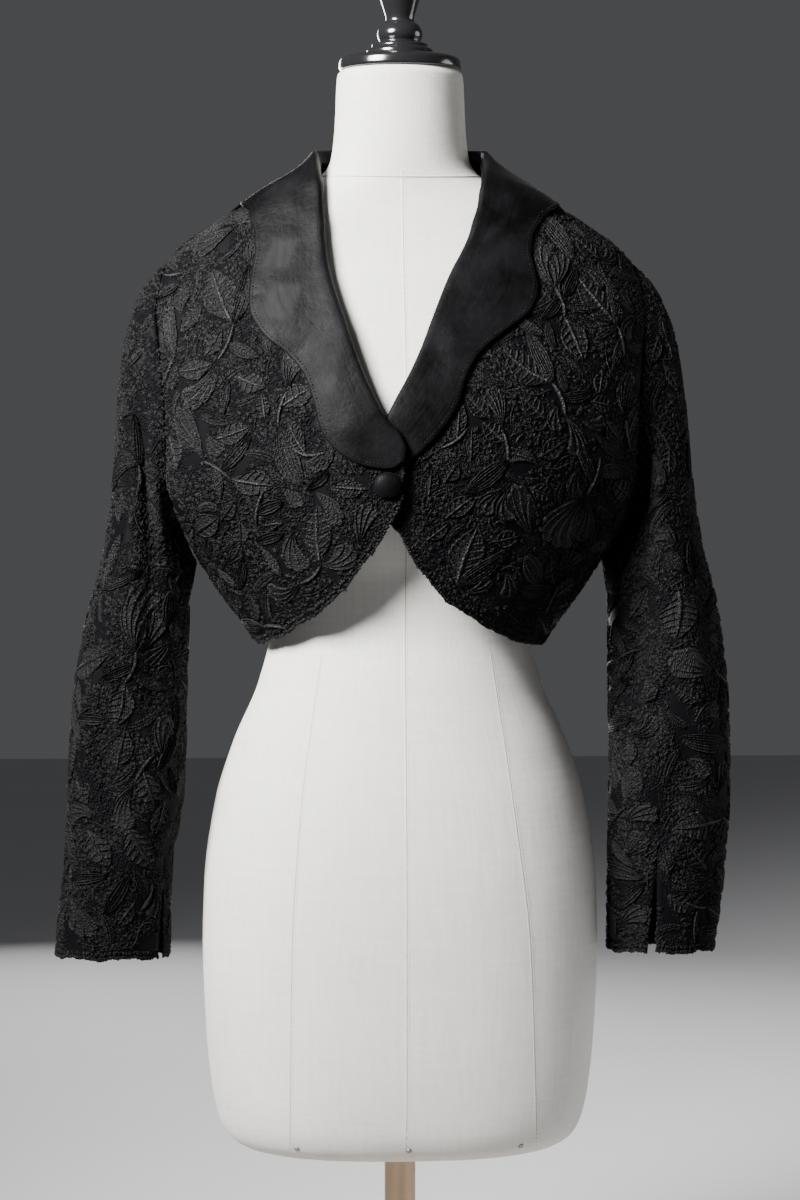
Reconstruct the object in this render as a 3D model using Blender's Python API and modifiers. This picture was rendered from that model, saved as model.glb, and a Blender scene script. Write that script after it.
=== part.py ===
"""A black bolero jacket of raised leaf lace, worn by a limbless dress form on a plain stand.

The jacket has two cutaway fronts that lap at the centre, a back, two long sleeves with a slit at
the wrist, a scalloped shawl collar in two halves, and one covered button. Sizes in the tables are
millimetres above the lower end of the form, X to the wearer's left and -Y to the front.
"""

import math
from collections import namedtuple

import bmesh
import bpy
import numpy as np
from mathutils import Vector
from mathutils.geometry import delaunay_2d_cdt

MM = 0.001

# Driving sizes of the stand and form
FORM_FOOT_Z = 200.0
FORM_HEIGHT = 950.0
BASE_RADIUS = 172.0
BASE_HEIGHT = 26.0
POLE_RADIUS = 13.5
REST_GAP = 0.3

# Driving sizes of the cloth
CLOTH = 2.0
COLLAR_CLOTH = 1.6
SEAM_GAP = 0.4
SLEEVE_SEAM_GAP = 1.5
UNDERARM_EASE = 4.6
COLLAR_CLEARANCE = 1.5
COLLAR_BACK_EASE = 0.9
LACE_HEIGHT = 1.1
LACE_RIDGE = 1.9

# Heights of the jacket's own landmarks
SIDE_HEM_Z = 461.0
UNDERARM_Z = 527.0
SHOULDER_TIP_Z = 783.0
NECK_POINT_Z = 861.0
NAPE_Z = 868.0
BACK_HEM_Z = 457.0
ARMHOLE_HALF_ANGLE = 21.5

# The wearer's right front laps over the left one and lies higher there
LAP_LIFT = 6.2
LAP_FULL_X = 45.0
LAP_NONE_X = 88.0

# Grid of each cloth panel: the sleeve has as many columns as both armhole edges have steps
SIDE_STEPS = 3
ARMHOLE_STEPS = 12
FRONT_COLUMNS = 10
BACK_HALF_COLUMNS = 10
SLEEVE_CAP_ROWS = 7
SLEEVE_HANG_ROWS = 13

FormRing = namedtuple("FormRing", "z half_width front back squareness")
FORM_RINGS = [
    FormRing(19, 126, 84, 90, 2.5),
    FormRing(24, 141, 98, 104, 2.5),
    FormRing(33, 152, 107, 113, 2.5),
    FormRing(48, 159, 113, 121, 2.45),
    FormRing(75, 164.5, 116, 127, 2.4),
    FormRing(120, 169, 118, 132, 2.3),
    FormRing(190, 172, 118, 134, 2.25),
    FormRing(250, 170.5, 117, 131, 2.2),
    FormRing(319, 161, 112, 121, 2.15),
    FormRing(371, 145, 104, 107, 2.1),
    FormRing(424, 122.5, 94, 93, 2.1),
    FormRing(470, 112.5, 88, 84, 2.1),
    FormRing(510, 114, 91, 84, 2.1),
    FormRing(555, 124, 106, 89, 2.15),
    FormRing(612, 137, 124, 96, 2.2),
    FormRing(650, 144, 119, 100, 2.2),
    FormRing(693, 152, 103, 103, 2.2),
    FormRing(737, 164, 86, 103, 2.2),
    FormRing(765, 172, 74, 98, 2.15),
    FormRing(783, 174, 66, 93, 2.1),
    FormRing(797, 170, 61.5, 88.5, 2.05),
    FormRing(811, 160, 58, 83.5, 2.0),
    FormRing(823, 143, 55.5, 78.5, 2.0),
    FormRing(833, 123.5, 53.5, 73.5, 2.0),
    FormRing(842, 103.5, 52.5, 68.5, 2.0),
    FormRing(851, 83.5, 52, 63, 2.0),
    FormRing(860, 67.5, 52.5, 59, 2.0),
    FormRing(872, 60, 53.5, 57, 2.0),
    FormRing(900, 56.5, 54.5, 56, 2.0),
    FormRing(942, 54.5, 54.5, 54.5, 2.0),
    FormRing(948, 53, 53, 53, 2.0),
    FormRing(950, 50, 50, 50, 2.0),
]
FORM_SIDES = 32

JacketRing = namedtuple("JacketRing", "z half_width front back")
JACKET_RINGS = [
    JacketRing(440, 116, 102, 93),
    JacketRing(461, 126, 107, 93),
    JacketRing(480, 139, 111, 94),
    JacketRing(500, 154, 115, 96),
    JacketRing(527, 172, 120, 98),
    JacketRing(550, 188, 124, 101),
    JacketRing(575, 202, 128, 103),
    JacketRing(605, 212, 130, 106),
    JacketRing(650, 217, 125, 109),
    JacketRing(700, 219, 108, 111),
    JacketRing(737, 217, 92, 110),
    JacketRing(765, 209, 79, 104),
    JacketRing(783, 200, 70.5, 98),
    JacketRing(797, 188, 65, 92),
    JacketRing(811, 168, 61, 86.5),
    JacketRing(823, 150, 58, 81.5),
    JacketRing(833, 130, 56, 76.5),
    JacketRing(842, 110, 55, 71.5),
    JacketRing(851, 91, 55, 67.5),
    JacketRing(861, 77, 57, 65),
    JacketRing(870, 70.5, 59, 64.5),
    JacketRing(880, 69, 60, 64),
]

# Edges of the fronts: across is the distance from the centre towards that front's own side
EdgePoint = namedtuple("EdgePoint", "across z")
NECK_EDGE = {
    "right": [
        EdgePoint(3, 612),
        EdgePoint(9, 626),
        EdgePoint(22, 647),
        EdgePoint(33, 667),
        EdgePoint(44, 692),
        EdgePoint(58, 742),
        EdgePoint(67, 772),
        EdgePoint(70.5, 800),
        EdgePoint(71.5, 828),
        EdgePoint(74, 846),
    ],
    "left": [
        EdgePoint(-33, 612),
        EdgePoint(-27, 626),
        EdgePoint(-15, 647),
        EdgePoint(-3, 669),
        EdgePoint(9, 690),
        EdgePoint(28, 734),
        EdgePoint(42, 769),
        EdgePoint(56, 796),
        EdgePoint(65, 824),
        EdgePoint(74, 846),
    ],
}
HEM_EDGE = {
    "right": [
        EdgePoint(3, 612),
        EdgePoint(4, 590),
        EdgePoint(9, 572),
        EdgePoint(22, 549),
        EdgePoint(42, 521),
        EdgePoint(64, 494),
        EdgePoint(90, 475),
        EdgePoint(111, 462),
        EdgePoint(121, 458),
    ],
    "left": [
        EdgePoint(-33, 612),
        EdgePoint(-31, 590),
        EdgePoint(-24, 573),
        EdgePoint(-9, 555),
        EdgePoint(8, 527),
        EdgePoint(30, 500),
        EdgePoint(58, 480),
        EdgePoint(90, 463),
        EdgePoint(116, 456.5),
    ],
}

# Collar stations run from the front tip to the nape. A front station gives the roll and the edge
# by their distance across, and a back one by their angle from the front centre.
FrontStation = namedtuple("FrontStation", "roll_across roll_z edge_across edge_z stand")
COLLAR_FRONT = {
    "right": [
        FrontStation(3, 624, 4, 614, 3),
        FrontStation(9, 637, 16, 607.5, 3),
        FrontStation(19, 647, 33, 609.5, 3),
        FrontStation(28, 664, 52, 618, 3),
        FrontStation(35, 679, 69, 637, 3),
        FrontStation(42, 697, 75.5, 661, 3),
        FrontStation(48, 716, 82, 681, 3),
        FrontStation(52, 730, 98, 702.5, 3.5),
        FrontStation(57, 746, 118, 719, 4),
        FrontStation(61.5, 762, 128.5, 739, 4.5),
        FrontStation(65, 779, 129, 756, 5),
        FrontStation(66.5, 793, 124.5, 784, 5.5),
        FrontStation(67.5, 808, 124.5, 801, 6),
        FrontStation(69, 824, 128, 815, 7),
        FrontStation(69.5, 842, 130.5, 825, 8.5),
    ],
    "left": [
        FrontStation(-33, 624, -33, 615, 3),
        FrontStation(-27, 637, -22, 609, 3),
        FrontStation(-18, 647, -3, 613, 3),
        FrontStation(-7, 667, 18, 629, 3),
        FrontStation(1, 681, 32, 646, 3),
        FrontStation(9, 697, 41, 661, 3),
        FrontStation(16, 713, 48, 683, 3),
        FrontStation(21, 726, 60, 703, 3.5),
        FrontStation(27, 741, 85, 724, 4),
        FrontStation(34, 758, 104, 740, 4.5),
        FrontStation(41, 773, 111, 762, 5),
        FrontStation(49, 787, 106.5, 786, 5.5),
        FrontStation(56, 801, 108, 801, 6),
        FrontStation(62, 818, 115, 813, 7),
        FrontStation(67, 839, 123, 822, 8.5),
    ],
}
BackStation = namedtuple("BackStation", "roll_angle roll_z edge_angle edge_z stand")
COLLAR_BACK = [
    BackStation(90, 869, 90, 830, 11.5),
    BackStation(112, 871, 108, 821, 12.5),
    BackStation(135, 873, 131, 815, 13),
    BackStation(158, 874.5, 155, 811, 13.5),
    BackStation(179.7, 875, 179.9, 809, 13.5),
]
COLLAR_COLUMNS = 30
STAND_STEPS = 1
FALL_STEPS = 6

# The hanging length of each sleeve, from under the armhole to the cuff
SleeveRing = namedtuple("SleeveRing", "z inner outer forward half_depth")
SLEEVE_RINGS = {
    "right": [
        SleeveRing(500, 184, 263, 2, 53),
        SleeveRing(450, 186, 274, 4, 52),
        SleeveRing(406, 187, 281, 7, 49),
        SleeveRing(363, 188, 284, 11, 46),
        SleeveRing(319, 190.5, 286.5, 15, 42),
        SleeveRing(276, 199, 289.5, 18, 37),
        SleeveRing(232, 201, 293.5, 19, 33),
        SleeveRing(188, 202, 297, 19, 31),
    ],
    "left": [
        SleeveRing(500, 183.5, 271, 2, 53),
        SleeveRing(450, 183.5, 279, 4, 52),
        SleeveRing(406, 183.5, 284, 7, 49),
        SleeveRing(363, 184, 285, 11, 46),
        SleeveRing(319, 183, 284.5, 15, 42),
        SleeveRing(276, 182, 282, 18, 37),
        SleeveRing(232, 181, 277, 19, 33),
        SleeveRing(190, 181, 271, 19, 31),
    ],
}
SLIT_COLUMN = {"right": 2, "left": 5}
SLIT_LENGTH = 88.0
SLIT_OPENING = 5.0

# Soft folds: ridges are positive. Body folds lie by angle and height, sleeve folds by the share
# of the way round from the underarm and by height.
Fold = namedtuple("Fold", "at z slant half_width half_length height")
BODY_FOLDS = [
    Fold(62, 560, 0.10, 9, 60, 5.0),
    Fold(48, 520, 0.05, 8, 48, -4.0),
    Fold(34, 510, 0.03, 9, 42, 4.0),
    Fold(128, 560, 0.08, 11, 80, 5.0),
    Fold(148, 540, 0.03, 9, 70, -4.0),
    Fold(167, 545, 0.00, 8, 75, 3.5),
]
SLEEVE_FOLDS = [
    Fold(0.27, 600, 0.0004, 0.035, 75, -8.0),
    Fold(0.20, 470, 0.0004, 0.040, 80, -6.5),
    Fold(0.36, 430, -0.0003, 0.045, 90, 5.0),
    Fold(0.30, 330, 0.0006, 0.050, 45, -5.5),
    Fold(0.16, 370, -0.0005, 0.045, 60, 5.0),
    Fold(0.62, 560, 0.0003, 0.040, 85, -6.0),
    Fold(0.78, 470, -0.0003, 0.045, 90, -5.5),
    Fold(0.70, 350, 0.0005, 0.050, 60, 5.0),
    Fold(0.45, 250, 0.0005, 0.060, 50, -4.0),
]

SLEEVE_FOLD_SHIFT = {"right": 0.0, "left": 0.05}

# A sprig of the raised lace: leaves fan out from one point
Leaf = namedtuple("Leaf", "turn length width")
SPRIG = [
    Leaf(-62, 40, 19),
    Leaf(-20, 62, 29),
    Leaf(24, 54, 25),
    Leaf(70, 36, 17),
    Leaf(172, 44, 20),
]
SPRIG_HEART = 7.0
LEAF_STEPS = 4
LEAF_INSET = 1.6
LEAF_MARGIN = 4.0
SPRIG_SPACING = 74.0
SPRIG_SEEDS = {
    "front_right": 11,
    "front_left": 27,
    "back": 43,
    "sleeve_right": 61,
    "sleeve_left": 77,
}

# The covered button stands on the right front, just under the collar's tip
BUTTON_ACROSS = 17.7
BUTTON_Z = 594.0
BUTTON_RADIUS = 11.0
BUTTON_HEIGHT = 6.5
BUTTON_SEAT = 0.1

COLOURS = {
    "lace": ((0.020, 0.020, 0.022), 0.75),
    "satin": ((0.040, 0.038, 0.041), 0.42),
    "linen": ((0.80, 0.78, 0.74), 0.85),
    "black_lacquer": ((0.012, 0.012, 0.013), 0.16),
    "pale_wood": ((0.62, 0.49, 0.36), 0.55),
}
SIGN = {"right": -1.0, "left": 1.0}


class Curve:
    """A smooth curve through points with rising positions, with no overshoot between them."""

    def __init__(self, positions, values):
        self.positions = np.asarray(positions, float)
        self.values = np.asarray(values, float)
        step = np.diff(self.positions)
        slope = np.diff(self.values) / step
        self.tangent = np.empty_like(self.values)
        self.tangent[0] = slope[0]
        self.tangent[-1] = slope[-1]
        before = slope[:-1]
        after = slope[1:]
        same_way = before * after > 0
        total = np.where(same_way, before + after, 1.0)
        self.tangent[1:-1] = np.where(same_way, 2 * before * after / total, 0.0)

    def __call__(self, at):
        at = np.clip(at, self.positions[0], self.positions[-1])
        left = np.clip(np.searchsorted(self.positions, at) - 1, 0, len(self.positions) - 2)
        width = self.positions[left + 1] - self.positions[left]
        t = (at - self.positions[left]) / width
        start_weight = (1 + 2 * t) * (1 - t) ** 2
        end_weight = t * t * (3 - 2 * t)
        bend = t * (1 - t) ** 2 * self.tangent[left] - t * t * (1 - t) * self.tangent[left + 1]
        return start_weight * self.values[left] + end_weight * self.values[left + 1] + width * bend


def rising_columns(rows):
    """One Curve for each column of a table whose first column is the height."""
    ordered = sorted(rows, key=lambda row: row.z)
    heights = [row.z for row in ordered]
    names = [name for name in rows[0]._fields if name != "z"]
    return {name: Curve(heights, [getattr(row, name) for row in ordered]) for name in names}


FORM_SHAPE = rising_columns(FORM_RINGS)
JACKET_SHAPE = rising_columns(JACKET_RINGS)
SLEEVE_SHAPE = {side: rising_columns(rows) for side, rows in SLEEVE_RINGS.items()}


def smoothstep(value, low, high):
    t = np.clip((value - low) / (high - low), 0.0, 1.0)
    return t * t * (3 - 2 * t)


def unit(vectors):
    return vectors / np.maximum(np.linalg.norm(vectors, axis=-1, keepdims=True), 1e-9)


def fold_height(folds, at, z):
    """Height of the folds at places given by the table's own at and height."""
    total = np.zeros(np.broadcast(at, z).shape)
    for fold in folds:
        away = (at - fold.at - fold.slant * (z - fold.z)) / fold.half_width
        along = (z - fold.z) / fold.half_length
        total = total + fold.height * np.exp(-(away**2) - along**2)
    return total


def half_depth(angle, z):
    front_side = np.cos(np.radians(angle)) > 0
    return np.where(front_side, JACKET_SHAPE["front"](z), JACKET_SHAPE["back"](z))


def body_point(side, angle, z):
    """A point of the jacket body's inner surface. The angle runs from the front centre to the nape."""
    angle, z = np.broadcast_arrays(np.asarray(angle, float), np.asarray(z, float))
    turn = np.radians(angle)
    half_width = JACKET_SHAPE["half_width"](z)
    depth = half_depth(angle, z)
    across = half_width * np.sin(turn)
    y = -depth * np.cos(turn)
    outward = unit(np.stack([across / half_width**2, y / depth**2], axis=-1))
    fold = fold_height(BODY_FOLDS, angle, z)
    across = across + outward[..., 0] * fold
    y = y + outward[..., 1] * fold
    if side == "right":
        at_front = np.cos(turn) > 0
        y = y - np.where(at_front, LAP_LIFT * smoothstep(-across, -LAP_NONE_X, -LAP_FULL_X), 0.0)
    return np.stack([SIGN[side] * across, y, z], axis=-1)


def angle_at(across, z):
    """The angle of a front point, from its distance across and its height."""
    return np.degrees(np.arcsin(np.clip(across / JACKET_SHAPE["half_width"](z), -1, 1)))


def armhole_angle(z):
    """How far each armhole edge lies from the side line, in degrees."""
    share = np.clip((z - UNDERARM_Z) / (SHOULDER_TIP_Z - UNDERARM_Z), 0.0, 1.0)
    return ARMHOLE_HALF_ANGLE * np.sqrt(np.sin(math.pi * share))


class Route:
    """A smooth line through points of the angle and height plane, by its share of length."""

    def __init__(self, points):
        points = np.asarray(points, float)
        places = body_point("left", points[:, 0], points[:, 1])
        run = np.concatenate([[0.0], np.cumsum(np.linalg.norm(np.diff(places, axis=0), axis=1))])
        share = run / run[-1]
        self.angle = Curve(share, points[:, 0])
        self.z = Curve(share, points[:, 1])

    def __call__(self, share):
        return np.stack([self.angle(share), self.z(share)], axis=-1)


SHOULDER_SEAM = Route([(90, z) for z in np.linspace(NECK_POINT_Z, SHOULDER_TIP_Z, 9)])


def side_edge(turn_way, side_share):
    """The side seam and then the armhole's edge, from hem to shoulder tip.

    turn_way is -1 on a front and 1 on the back.
    """

    def edge(share):
        on_seam = np.clip(share / side_share, 0.0, 1.0)
        on_armhole = np.clip((share - side_share) / (1 - side_share), 0.0, 1.0)
        climb = (1 - np.cos(math.pi * on_armhole)) / 2
        seam_z = SIDE_HEM_Z + (UNDERARM_Z - SIDE_HEM_Z) * on_seam
        z = np.where(on_armhole > 0, UNDERARM_Z + (SHOULDER_TIP_Z - UNDERARM_Z) * climb, seam_z)
        return np.stack([90 + turn_way * armhole_angle(z), z], axis=-1)

    return edge


def patch(bottom, top, left, right):
    """A surface of the angle and height plane stretched between four edges."""

    def at(u, v):
        across = u[..., None]
        up = v[..., None]
        zero = np.zeros_like(u)
        one = np.ones_like(u)
        sides = (1 - across) * left(v) + across * right(v)
        ends = (1 - up) * bottom(u) + up * top(u)
        corners = (1 - across) * ((1 - up) * bottom(zero) + up * top(zero))
        corners = corners + across * ((1 - up) * bottom(one) + up * top(one))
        return sides + ends - corners

    return at


SIDE_SHARE = SIDE_STEPS / (SIDE_STEPS + ARMHOLE_STEPS)
PANEL_ROWS = SIDE_STEPS + ARMHOLE_STEPS


def keep_off_side_line(angle, z, turn_way):
    """Holds a panel half the seam's gap away from the side and shoulder line."""
    off = np.degrees(SEAM_GAP / 2 / half_depth(90 + turn_way, z))
    if turn_way < 0:
        return np.minimum(angle, 90 - off)
    return np.maximum(angle, 90 + off)


def front_surface(side):
    def on_body(rows):
        return [(angle_at(row.across, row.z), row.z) for row in rows]

    hem = Route([*on_body(HEM_EDGE[side]), (90, SIDE_HEM_Z)])
    neck = Route([*on_body(NECK_EDGE[side]), (90, NECK_POINT_Z)])
    plane = patch(hem, SHOULDER_SEAM, neck, side_edge(-1, SIDE_SHARE))

    def point(u, v):
        place = plane(u, v)
        angle = keep_off_side_line(place[..., 0], place[..., 1], -1)
        return body_point(side, angle, place[..., 1])

    return point


def back_surface():
    hem = Route([(180, BACK_HEM_Z), (150, BACK_HEM_Z), (120, 458), (90, SIDE_HEM_Z)])
    neck = Route([(180, NAPE_Z), (150, 867), (120, 864.5), (90, NECK_POINT_Z)])
    neck_share = 0.4

    def top(share):
        on_neck = neck(np.clip(share / neck_share, 0, 1))
        on_seam = SHOULDER_SEAM(np.clip((share - neck_share) / (1 - neck_share), 0, 1))
        return np.where((share > neck_share)[..., None], on_seam, on_neck)

    def centre(share):
        z = BACK_HEM_Z + (NAPE_Z - BACK_HEM_Z) * share
        return np.stack([np.full(np.shape(share), 180.0), z], axis=-1)

    plane = patch(hem, top, centre, side_edge(1, SIDE_SHARE))

    def point(u, v):
        """u runs from the wearer's left side to the right one."""
        from_centre = np.abs(2 * u - 1)
        place = plane(from_centre, v)
        angle = keep_off_side_line(place[..., 0], place[..., 1], 1)
        found = body_point("left", angle, place[..., 1])
        found[..., 0] = found[..., 0] * np.where(u > 0.5, -1.0, 1.0)
        return found

    return point


def armhole_point(side, around):
    """A point of the armhole's edge. around is 0 at the underarm, 0.5 at the shoulder tip."""
    z = UNDERARM_Z + (SHOULDER_TIP_Z - UNDERARM_Z) * (1 - np.cos(2 * math.pi * around)) / 2
    back_half = (around % 1.0) > 0.5
    angle = 90 + np.where(back_half, 1.0, -1.0) * armhole_angle(z)
    return body_point("left", angle, z) * np.array([SIGN[side], 1.0, 1.0])


def sleeve_ring_point(side, around, z):
    shape = SLEEVE_SHAPE[side]
    inner = shape["inner"](z)
    across = inner + (shape["outer"](z) - inner) * (1 - np.cos(2 * math.pi * around)) / 2
    y = -shape["forward"](z) - shape["half_depth"](z) * np.sin(2 * math.pi * around)
    return np.stack([SIGN[side] * across, y, z], axis=-1)


def sleeve_surface(side, rows):
    """The sleeve as an unrolled strip whose two long edges meet along the slit's seam."""
    sign = SIGN[side]
    table = SLEEVE_RINGS[side]
    top_z = table[0].z
    cuff_z = table[-1].z
    start = SLIT_COLUMN[side] / (2 * ARMHOLE_STEPS)
    cap_share = SLEEVE_CAP_ROWS / rows

    def point(u, v):
        u, v = np.broadcast_arrays(np.asarray(u, float), np.asarray(v, float))
        hang = np.clip((v - cap_share) / (1 - cap_share), 0.0, 1.0)
        z = top_z + (cuff_z - top_z) * hang
        open_share = smoothstep(cuff_z + SLIT_LENGTH - z, 0, SLIT_LENGTH)
        from_slit = np.where(u < 0.5, u, u - 1)
        near_slit = np.exp(-((from_slit / 0.05) ** 2)) * np.where(u < 0.5, 1.0, -1.0)
        girth = 2 * math.pi * SLEEVE_SHAPE[side]["half_depth"](z)
        around = start + u + near_slit * open_share * SLIT_OPENING / 2 / girth
        hanging = sleeve_ring_point(side, around, z)
        crown = (1 - np.cos(2 * math.pi * around)) / 2
        near_underarm = np.exp(-((crown / 0.10) ** 1.0))
        begin = armhole_point(side, around)
        end = sleeve_ring_point(side, around, np.full_like(z, top_z))
        aside = 0.10 * np.sin(2 * math.pi * around)
        leave = unit(np.stack([sign * (0.35 + 0.45 * crown), aside, -0.95 + 0.30 * crown], axis=-1))
        off = sign * (SLEEVE_SEAM_GAP + UNDERARM_EASE * near_underarm)
        begin = begin + np.stack([off, 0 * z, -0.5 * near_underarm], axis=-1)
        span = np.linalg.norm(end - begin, axis=-1)[..., None]
        first = begin + leave * span * 0.26
        last = end + np.stack([-sign * 0.12 * span[..., 0], 0 * z, 0.42 * span[..., 0]], axis=-1)
        t = np.clip(v / cap_share, 0.0, 1.0)[..., None]
        cap = begin * (1 - t) ** 3 + 3 * first * t * (1 - t) ** 2
        cap = cap + 3 * last * t * t * (1 - t) + end * t**3
        found = np.where((v <= cap_share)[..., None], cap, hanging)
        shape = SLEEVE_SHAPE[side]
        middle = (shape["inner"](found[..., 2]) + shape["outer"](found[..., 2])) / 2
        outward = np.stack([found[..., 0] - sign * middle, found[..., 1], 0 * z], axis=-1)
        fade = smoothstep(v, 0.0, 0.14) * (1 - 0.6 * open_share)
        shift = SLEEVE_FOLD_SHIFT[side]
        fold = fold_height(SLEEVE_FOLDS, (around + shift) % 1.0, found[..., 2]) * fade
        return found + unit(outward) * fold[..., None]

    return point


def outer_face(point, thickness_way, seam_normal=None):
    """Adds a height above the surface: returns a function of u, v and the height."""
    step = 1e-3

    def at(u, v, height):
        u = np.asarray(u, float)
        v = np.asarray(v, float)
        along = point(np.minimum(u + step, 1.0), v) - point(np.maximum(u - step, 0.0), v)
        up = point(u, np.minimum(v + step, 1.0)) - point(u, np.maximum(v - step, 0.0))
        normal = unit(np.cross(along, up)) * thickness_way
        place = point(u, v)
        if seam_normal is not None:
            normal = seam_normal(u, v, place, normal)
        return place + normal * np.asarray(height)[..., None]

    return at


def square_to_side_line(u, v, place, normal):
    """Turns a panel's thickness to run along the side and shoulder seam, so both sides match."""
    keep = smoothstep(np.abs(place[..., 1]), SEAM_GAP, 14.0)
    return unit(normal * np.stack([np.ones_like(keep), keep, np.ones_like(keep)], axis=-1))


def leaf_outline(leaf, turn, inset):
    """Points of a pointed leaf in its sprig's own plane, tip and base first, in millimetres."""
    length = leaf.length - 2 * inset
    width = leaf.width - 2 * inset
    points = []
    for way in (1, -1):
        steps = range(LEAF_STEPS) if way > 0 else range(LEAF_STEPS, 0, -1)
        for k in steps:
            share = k / LEAF_STEPS
            along = SPRIG_HEART + inset + length * share
            aside = way * width / 2 * math.sin(math.pi * share**0.85)
            points.append((along, aside))
    spin = math.radians(leaf.turn) + turn
    return [
        (along * math.cos(spin) - aside * math.sin(spin), along * math.sin(spin) + aside * math.cos(spin))
        for along, aside in points
    ]


def leaf_middle(leaf, turn):
    spin = math.radians(leaf.turn) + turn
    along = SPRIG_HEART + leaf.length * 0.5
    return (along * math.cos(spin), along * math.sin(spin))


def crossing_free(outline, others, clear):
    """True if an outline keeps its distance from those already laid."""
    mine = np.asarray(outline)
    for other in others:
        if np.abs(mine.mean(0) - other.mean(0)).max() > 90:
            continue
        gaps = np.linalg.norm(mine[:, None] - other[None], axis=-1)
        if gaps.min() < clear:
            return False
    return True


def dense(outline):
    """The outline with three points added along each side, and its own middle."""
    points = np.asarray(outline)
    after = np.roll(points, -1, axis=0)
    between = [points * (1 - share) + after * share for share in (0.0, 0.25, 0.5, 0.75)]
    return np.concatenate([*between, [points.mean(0)]])


def lay_sprigs(point, size, seed, allowed):
    """Leaves of the raised lace on one panel, as outlines in the panel's u and v."""
    width, height = size
    draw = np.random.default_rng(seed)
    leaves = []
    taken = []
    rows = max(1, int(round(height / (SPRIG_SPACING * 0.87))))
    for row in range(rows):
        columns = max(1, int(round(width / SPRIG_SPACING)))
        for column in range(columns):
            u = (column + 0.5 + 0.25 * (-1) ** row + draw.uniform(-0.08, 0.08)) / columns
            v = (row + 0.5 + draw.uniform(-0.08, 0.08)) / rows
            turn = draw.uniform(0, 2 * math.pi)
            step = 1e-3
            if not (0.01 < u < 0.99):
                continue
            centre = np.array([u, v])
            ring = point(u + step * np.array([1, -1, 0, 0]), v + step * np.array([0, 0, 1, -1]))
            along = (ring[0] - ring[1]) / (2 * step)
            up = (ring[2] - ring[3]) / (2 * step)
            metric = np.array([[along @ along, along @ up], [along @ up, up @ up]])
            first = along / np.linalg.norm(along)
            second = unit(up - (up @ first) * first)
            to_plane = np.linalg.inv(metric) @ np.array([along, up]) @ np.array([first, second]).T
            for leaf in SPRIG:
                base = centre + np.asarray(leaf_outline(leaf, turn, 0.0)) @ to_plane.T
                top = centre + np.asarray(leaf_outline(leaf, turn, LEAF_INSET)) @ to_plane.T
                middle = centre + np.asarray([leaf_middle(leaf, turn)]) @ to_plane.T
                scaled = dense(base) * [width, height]
                margin = LEAF_MARGIN / np.array([width, height])
                if (base < margin).any() or (base > 1 - margin).any():
                    continue
                if not crossing_free(scaled, taken, LEAF_MARGIN):
                    continue
                if not allowed(base):
                    continue
                laid = point(base[:, 0], base[:, 1])
                sizes = np.linalg.norm(laid[0] - laid[LEAF_STEPS])
                if not 0.75 * leaf.length < sizes < 1.3 * leaf.length:
                    continue
                taken.append(scaled)
                leaves.append((base, top, middle))
    return leaves


def inside(outline, places):
    """Which places lie within a closed outline."""
    found = np.zeros(len(places), bool)
    for (x0, y0), (x1, y1) in zip(outline, np.roll(outline, -1, axis=0)):
        crosses = (y0 > places[:, 1]) != (y1 > places[:, 1])
        with np.errstate(divide="ignore", invalid="ignore"):
            at = x0 + (places[:, 1] - y0) * (x1 - x0) / (y1 - y0)
        found ^= crosses & (places[:, 0] < at)
    return found


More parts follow.
